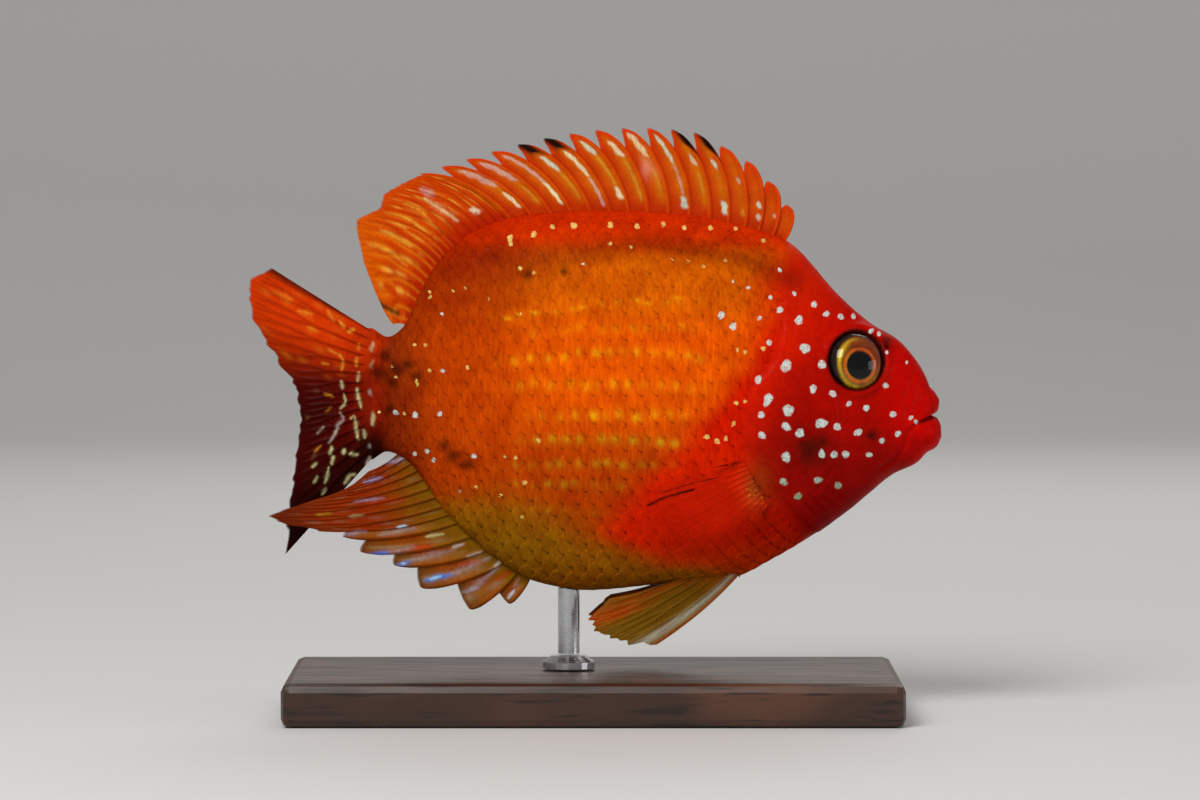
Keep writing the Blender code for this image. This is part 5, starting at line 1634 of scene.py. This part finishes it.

# %% [markdown]
# ## Anal fin
#
# Below, six spines with their flaps lead into a soft part drawn out to a long point.
# The web is olive at its root and turns orange and grey, with blue streaks whose pale
# cores are painted glints. Both parts are one piece, made with the helpers of the dorsal fin.

# %% Laws of the anal fin
ANAL_SPINES, ANAL_BOW = 6, 12.0
anal_place = law(((-1, -7.6), (0, -8.9), (1, -10.6), (2, -12.6), (3, -14.9), (5, -19.0), (6, -20.6)))
anal_angle = law(((0, 233), (1, 220), (2, 198), (3, 190), (4, 188.5), (5, 187.5)))
anal_length = law(((0, 4.4), (1, 8.2), (2, 11.6), (3, 12.6), (4, 15.0), (5, 15.4)))
anal_soft_angle = law(((0, 187), (0.22, 186), (0.5, 191), (0.8, 203), (1, 210)))
anal_soft_length = law(((0, 18.0), (0.22, 23.3), (0.36, 20.6), (0.6, 13.6), (0.8, 8.6), (1, 4.7)))


def anal_sideways(x, z, share):
    """The rear of the anal fin trails past the right side of the tail."""
    return -2.8 * (np.maximum(-24.0 - x, 0) / 21.0) ** 1.3


anal_tips = law(((-0.14, 0.86), (-0.04, 0.96), (0.08, 1.0), (0.3, 0.975), (0.6, 0.915), (0.98, 0.83)))


def anal_root(number):
    x = anal_place(number)
    return x, belly(x)


def anal_soft_root(u):
    x = -20.0 + (-27.0 + 20.0) * u
    return np.column_stack([x, belly(x)])


print("longest soft ray:", round(float(anal_soft_length(np.linspace(0, 1, 50)).max()), 1), "mm")

# %% [markdown]
# ## Marks on the anal fin
#
# The blue and grey streaks follow the rays, but only some of them, and their ends are
# soft. The pale cores on the blue streaks and a few white dashes are painted glints. They
# are placed one by one like those of the tail. The web below them goes from olive to
# orange to grey, and to red where it passes the tail.

# %% Colours of the anal fin
# ICE_GLINT is a painted glint, laid as a pale core over the blue streaks and as a few white dashes.
BLUE, ICE_GLINT, MAUVE = srgb(30, 110, 220), srgb(170, 225, 250), srgb(150, 134, 132)
RUST, LILAC = srgb(176, 48, 3), srgb(150, 142, 166)
ANAL_MARKS = (
    (-18.4, 20.5, -15.4, 21.0, .5, .7, RUST), (-25.0, 22.8, -22.4, 23.1, .5, .7, RUST),
    (-30.6, 28.9, -25.6, 29.6, .4, .6, RUST), (-13.4, 18.4, -11.4, 19.6, .4, .6, RUST),
    (-31.4, 21.7, -28.6, 22.1, -24.6, 23.0, .42, .6, MAUVE),
    (-27.0, 20.6, -23.6, 21.5, -19.0, 22.6, .42, .6, MAUVE),
    (-23.4, 18.3, -19.0, 19.4, -14.2, 21.6, .48, .7, MAUVE),
    (-18.2, 16.6, -16.0, 17.8, -13.0, 20.3, .4, .8, MAUVE), (-29.6, 24.6, -24.6, 25.6, .4, .55, MAUVE),
    (-34.9, 24.6, -31.2, 25.2, .3, .5, LILAC), (-31.6, 21.6, -29.8, 22.0, -28.2, 22.2, .3, .95, BLUE),
    (-31.4, 21.65, -30.4, 21.85, .2, .95, ICE_GLINT), (-26.9, 20.5, -25.2, 20.9, .26, .85, BLUE),
    (-26.4, 20.65, -25.9, 20.75, .16, .9, ICE_GLINT),
    (-23.1, 18.3, -21.4, 18.75, -19.6, 19.1, .32, .95, BLUE), (-22.6, 18.5, -21.0, 18.9, .18, .8, ICE_GLINT),
    (-17.6, 16.7, -15.8, 17.4, .24, .8, LILAC),
    # painted glint along the first spine
    (-11.7, 15.9, -10.9, 17.0, .22, .95, srgb(214, 226, 230)),
    (-11.0, 17.4, -10.2, 18.6, .22, .5, MAUVE), (-27.0, 25.7, -25.8, 25.9, .2, .9, ICE_GLINT),
    (-23.0, 24.4, -20.6, 24.8, .22, .8, CREAM), (-19.4, 22.9, -17.9, 23.4, .24, .8, PALE),
    (-17.4, 21.6, -15.4, 22.3, .22, .7, PALE), (-13.6, 20.2, -12.6, 21.2, .26, .7, PALE),
    (-33.6, 27.2, -31.6, 27.4, .2, .55, CREAM), (-32.9, 29.3, -28.8, 29.7, .2, .7, LILAC),
    (-31.6, 31.9, -29.1, 32.6, .3, .8, srgb(130, 140, 176)),
    (-29.9, 34.6, -27.4, 34.8, -24.6, 35.8, .3, .9, LILAC),
    (-38.0, 27.5, -36.0, 27.7, .24, .5, srgb(170, 140, 40)))


def anal_colour(share, x, z):
    """Olive web that turns orange, then grey, away from its root."""
    return layered(plain(share, 126, 64, 4),
                   (1 - rise(share, 0.05, 0.5), (126, 82, 5)),
                   (0.45 * bump(share - 0.55, 0.25), (160, 58, 3)),
                   (0.6 * rise(share, 0.65, 1.0), (84, 46, 26)),
                   (0.8 * rise(-x, 22, 32) * rise(z, 22, 27), (140, 34, 4)),
                   (0.8 * rise(-x, 36, 43), (84, 18, 14)))


print(len(ANAL_MARKS), "marks on the anal fin")

# %% [markdown]
# ## The anal fin as one piece
#
# The flaps and the soft fan are closed sheets that overlap inside the belly. Bridging
# them point by point would tear their rays, so they are laid side by side in one mesh.

# %% Build the anal fin
flaps = []
random = np.random.default_rng(71)
for number in range(ANAL_SPINES):
    grid, thick, u, share = leaf(number, anal_root, anal_angle, anal_length, ANAL_BOW, anal_sideways,
                                 anal_tips)
    centre = 0.24 + 0.12 * share
    span = rise(share, 0.12, 0.3) * (1 - rise(share, 0.88, 1.0))
    broken = 0.55 + 0.45 * np.sin(share * random.uniform(8, 12) + random.uniform(0, 6))
    streak = np.clip(span * broken * bump(u - centre, 0.11), 0, 1)
    tone = layered(anal_colour(share, grid[..., 0], grid[..., 2]),
                   (0.15 * rise(u, 0.84, 0.98), (96, 42, 8)),
                   (0.3 * np.clip(span * bump(u - centre, 0.24), 0, 1), (170, 124, 40)),
                   (0.35 * streak, (158, 140, 124)))
    tone = strokes(tone, grid[..., 0], grid[..., 2], ANAL_MARKS)
    flaps.append((grid, thick, tone, faded_rim(0.2 + 0.8 * bump(u, 0.1) + 0.6 * streak, u, share)))
grid, u, share, near = soft_grid(9, 20, 96, anal_soft_root, anal_soft_angle, anal_soft_length,
                                 ANAL_BOW, anal_sideways, seed=72)
along, _ = over_fin(u, share)
spots = dashes(u, share, 8, 6, 0.6, 73, long=0.28, wide=0.17) * (1 - rise(along, 0.8, 0.95))
tone = layered(anal_colour(along, grid[..., 0], grid[..., 2]),
               (0.5 * bump(near, 0.12), (120, 48, 8)),
               (0.3 * np.clip(spots, 0, 1), (150, 128, 100)))
tone = strokes(tone, grid[..., 0], grid[..., 2], ANAL_MARKS)
solid = faded_rim(0.2 + 0.8 * bump(near, 0.14) + spots, 0.5 + 0 * along, along)
flaps.append((grid, soft_thick(near, share), tone, solid))
fin_piece("anal_fin_web", flaps, anal_finish, "anal_fin", "anal_fin")

# %% [markdown]
# ## Pectoral fins
#
# The pectoral fins are thin clear fans, held back against the flanks. Almost all that
# shows of them is their rays and a red tint. Modelled flat, they would cut through the
# belly. So each point stands off the flank by a distance that grows towards the edge.

# %% Pectoral fins
pectoral_angle = law(((0, 192), (0.35, 205), (0.55, 212), (0.75, 222), (1, 237)))
pectoral_length = law(((0, 19.6), (0.12, 22.0), (0.3, 23.2), (0.5, 21.6), (0.7, 17.5), (0.85, 12.8),
                       (1, 8.0)))
INK = (
    (13.4, 34.0, 15.6, 34.6, 18.1, 34.8, .15, 1.0), (9.2, 31.0, 12.9, 32.2, 17.0, 33.1, .1, .8),
    (7.4, 29.4, 10.2, 30.6, 13.6, 31.5, .17, 1.0), (20.9, 36.3, 19.8, 35.6, 18.9, 34.8, .22, .9))


def pectoral_root(u):
    top, low = np.array((20.6, 35.4)), np.array((23.6, 29.2))
    return top + (low - top) * u[:, None]


def pectoral_piece(label, side):
    """One pectoral fin, laid along the flank."""

    def sideways(x, z, share):
        near = flank(x, z)
        ease = np.sin(0.5 * math.pi * np.minimum(share * 1.6, 1.0))
        lifted = np.hypot(near, 3.6 * ease) + 0.75 * ease + 1.5 * share ** 2
        return side * np.where(share <= 0, near - 0.5, lifted + 0.1)

    grid, u, share, near = soft_grid(12, 14, 90, pectoral_root, pectoral_angle, pectoral_length,
                                     0.0, sideways, fray=0.05, seed=81)
    x, z = grid[..., 0], grid[..., 2]
    along, across = over_fin(u, share)
    patch = bump(np.hypot(x - 22.1, (z - 31.9) * 0.6), 2.0)
    specks = rise(noise(x, z, 84, 0.22), 0.45, 0.8) * bump(np.hypot(x - 22.3, z - 31.0), 1.3)
    ink = np.zeros(x.shape)
    for *path, width, strength in INK:
        gap, _ = line_distance(x, z, smooth_line(np.reshape(path, (-1, 2))))
        ink = np.maximum(ink, strength * bump(gap, width * (1 + 0.4 * noise(x, z, 83, 0.5))))
    tone = layered(plain(near, 226, 34, 2), (0.5 * bump(near, 0.12), (180, 24, 2)),
                   (0.85 * patch, (138, 56, 12)), (0.8 * specks, (220, 150, 50)),
                   (np.clip(1.1 * ink, 0, 1), (30, 6, 4)))
    soft = rise(across, 0.0, 0.2) * (1 - rise(across, 0.6, 1.0)) * (1 - rise(along, 0.35, 0.95))
    rays = 0.14 * bump(near, 0.14) * (1 - 0.6 * along)
    solid = 0.45 * soft + rays + ink + 0.8 * patch * (along < 0.3)
    solid = np.clip(solid + 0.4 * bump(along, 0.1), 0, 1)
    thick = soft_thick(near, share, root=0.24, edge=0.08, web=0.16)
    fin_piece("pectoral_" + label, [(grid, thick, tone, solid)], side_finish, "pectoral_fin",
              "pectoral_fin_" + label)


pectoral_piece("left", 1)
pectoral_piece("right", -1)

# %% [markdown]
# ## Pelvic fins
#
# The pelvic fins hang below the breast, with a stiff pale front ray and a yellow-olive
# web. They are the same kind of fan. Only their front ray is made thicker, because it
# has to read as a spine from the side.

# %% Pelvic fins
pelvic_angle = law(((0, 220), (0.4, 210), (0.7, 204), (1, 197)))
pelvic_length = law(((0, 15.6), (0.35, 18.0), (0.6, 18.4), (0.8, 17.0), (1, 12.0)))


def pelvic_root(u):
    return np.column_stack([20.2 - 6.6 * u, 19.6 + 0 * u])


def pelvic_piece(label, side):
    """One pelvic fin beside the keel of the belly."""

    def sideways(x, z, share):
        return side * (2.6 + 0.25 * np.maximum(19.6 - z, 0) - 0.6 * (share <= 0))

    grid, u, share, near = soft_grid(6, 22, 84, pelvic_root, pelvic_angle, pelvic_length, 8.0,
                                     sideways, fray=0.06, seed=91)
    along, across = over_fin(u, share)
    tone = layered(plain(near, 108, 72, 5),
                   (0.7 * (1 - rise(along, 0.0, 0.3)), (150, 66, 6)),
                   (0.75 * rise(across, 0.55, 1.0), (136, 54, 6)),
                   (0.6 * bump(near, 0.12), (122, 88, 18)),
                   (0.5 * bump(across - 0.75, 0.12) * rise(along, 0.4, 0.8), (190, 50, 4)),
                   (0.8 * bump(across - 0.13, 0.06), (168, 160, 140)),
                   (0.8 * (1 - rise(across, 0.0, 0.07)), (150, 64, 8)))
    solid = np.clip(0.3 + 0.6 * bump(near, 0.16) + 0.7 * (1 - rise(across, 0, 0.1)), 0, 1)
    solid = np.maximum(solid, 1 - rise(along, 0.02, 0.2))
    thick = soft_thick(near, share) + 0.35 * bump(across, 0.05) * (1 - 0.7 * along)
    fin_piece("pelvic_" + label, [(grid, thick, tone, solid)], pelvic_finish, "pelvic_fin",
              "pelvic_fin_" + label)


pelvic_piece("left", 1)
pelvic_piece("right", -1)

# %% [markdown]
# ## The stand
#
# The fish needs something to hold it up, and that should stay quiet: a dark oiled wooden
# base and a satin steel rod. Their solids are already right, so they only get finishes.
# Wood is rings of growth cut lengthwise. A picture of wood would be tied to one size, so
# its pattern is a wave bent by slow noise, with stretched noise for the pores.

# %% Wood
wood, tree, shader = start_material("oiled_wood", Specular_IOR_Level=0.4, Coat_Weight=0.15,
                                    Coat_Roughness=0.3)
place = own_place(tree)
stretch = add_node(tree, "ShaderNodeMapping", {"Vector": place, "Scale": (60.0, 700.0, 700.0)})
fibre = mottle(tree, stretch.outputs[0], 1.6, 6.0)
bend = add_node(tree, "ShaderNodeTexNoise", {"Vector": place, "Scale": 16.0, "Detail": 2.0})
offset = add_node(tree, "ShaderNodeMixRGB", {0: 0.04, 1: place, 2: bend.outputs["Color"]})
figure = add_node(tree, "ShaderNodeTexWave", {"Vector": offset.outputs[0], "Scale": 26.0,
                                              "Distortion": 5.0, "Detail": 2.0},
                  bands_direction="Y").outputs["Fac"]
dark_wood, light_wood = (*srgb(58, 34, 22), 1), (*srgb(86, 52, 32), 1)
base_tone = blend_colour(tree, ramp(tree, figure, 0.1, 0.9), dark_wood, light_wood)
worked = use_group(tree, pigment, Colour=base_tone, Patch_size=70.0, Grain_size=900.0,
                   Upright=1.0, Strength=0.12)
pores = ramp(tree, fibre, 0.32, 0.46)
tree.links.new(blend_colour(tree, pores, (*srgb(34, 18, 10), 1), worked["Colour"]),
               shader["Base Color"])
tree.links.new(ramp(tree, fibre, 0.3, 0.7, 0.5, 0.34), shader["Roughness"])
tree.links.new(emboss(tree, fibre, 0.25, 0.08), shader["Normal"])
print("wood has", len(tree.nodes), "nodes")

# %% [markdown]
# ## Turned steel
#
# A rod from the lathe has fine lines round its axis, too fine to model. Noise that is
# three hundred times closer along the axis than across it gives such lines. They change
# the roughness and, very slightly, the height.

# %% Steel
steel, tree, shader = start_material("turned_steel", Metallic=1.0)
place = own_place(tree)
lathe = add_node(tree, "ShaderNodeMapping", {"Vector": place, "Scale": (30.0, 30.0, 9000.0)})
lines = mottle(tree, lathe.outputs[0], 1.0, 3.0)
polished = use_group(tree, pigment, Colour=(*srgb(196, 196, 198), 1), Patch_size=200.0,
                     Grain_size=1500.0, Upright=1.0, Strength=0.06)
tree.links.new(polished["Colour"], shader["Base Color"])
tree.links.new(ramp(tree, lines, 0.3, 0.7, 0.2, 0.34), shader["Roughness"])
tree.links.new(emboss(tree, lines, 0.15, 0.02), shader["Normal"])
for node, finish in (("stand_base", wood), ("stand_rod", steel), ("stand_collar", steel)):
    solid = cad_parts[node]
    solid.data.materials.clear()
    solid.data.materials.append(finish)
print("stand dressed")

# %% [markdown]
# ## Backdrop
#
# A museum photographs its models on paper that rises behind them in a curve. A floor
# and a wall would leave a line behind the fish. Here a quarter circle joins the two.

# %% Backdrop
sweep = [(-1.6, 0.0)] + [(0.75 + 0.35 * math.sin(a), 0.35 - 0.35 * math.cos(a))
                         for a in np.linspace(0, math.pi / 2, 14)] + [(1.1, 1.6)]
points = np.array([(x, y, z) for y, z in sweep for x in (-2.2, 2.2)])
faces = [[2 * k, 2 * k + 1, 2 * k + 3, 2 * k + 2] for k in range(len(sweep) - 1)]
mesh = bpy.data.meshes.new("backdrop")
mesh.from_pydata(points.tolist(), [], faces)
mesh.shade_smooth()
backdrop = bpy.data.objects.new("backdrop", mesh)
bpy.context.scene.collection.objects.link(backdrop)
paper, tree, shader = start_material("backdrop_paper", Roughness=0.85)
shader["Base Color"].default_value = (0.70, 0.69, 0.67, 1)
mesh.materials.append(paper)
print("the sweep has", len(faces), "strips")

# %% [markdown]
# ## Lamps, sky and camera
#
# A wet model is lit softly: a large lamp high in front, a broad fill, and a lamp behind
# that draws the edge of the back. Typing their angles is slow, so a helper aims them at a
# point. The lens is long and the camera far off, as nearness would swell the head.

# %% Lamps, sky and camera


def lamp(name, place, target, size, power, colour=(1, 1, 1)):
    """A square lamp that faces a point."""
    light = bpy.data.lights.new(name, "AREA")
    light.size, light.energy, light.color = size, power, colour
    obj = bpy.data.objects.new(name, light)
    bpy.context.scene.collection.objects.link(obj)
    obj.location = place
    obj.rotation_euler = look_at(np.array(target, float) - np.array(place, float))


def look_at(aim):
    """Rotation that turns a lamp or camera to look along a direction."""
    x, y, z = aim
    level = math.hypot(x, y)
    return (math.pi / 2 + math.atan2(z, level), 0.0, math.atan2(y, x) - math.pi / 2)


lamp("key", (-0.25, -0.55, 0.55), (0, 0, 0.045), 0.34, 4.5)
lamp("fill", (0.84, -0.2, 0.06), (0, 0, 0.045), 0.42, 1.7)
lamp("edge", (0.1, 0.55, 0.5), (0, 0, 0.05), 0.4, 1.1)
sky = bpy.data.worlds.new("studio")
sky.use_nodes = True
sky.node_tree.nodes["Background"].inputs["Color"].default_value = (1, 1, 1, 1)
sky.node_tree.nodes["Background"].inputs["Strength"].default_value = 0.3
bpy.context.scene.world = sky
bpy.context.scene.view_settings.view_transform = "Standard"

LENS, SENSOR, FIELD, CAMERA_TILT = 180.0, 36.0, 0.165, 2.5
distance = FIELD / 2 / (SENSOR / 2 / LENS)
tilt = math.radians(CAMERA_TILT)
target = np.array((0.0009, 0.0, 0.0432))
camera_data = bpy.data.cameras.new("camera")
camera_data.lens, camera_data.sensor_width = LENS, SENSOR
camera_data.clip_start = 0.01
camera = bpy.data.objects.new("camera", camera_data)
bpy.context.scene.collection.objects.link(camera)
camera.location = target + distance * np.array((0, -math.cos(tilt), math.sin(tilt)))
camera.rotation_euler = look_at(target - np.array(camera.location))
bpy.context.scene.camera = camera
print("camera stands", round(distance, 3), "m away")
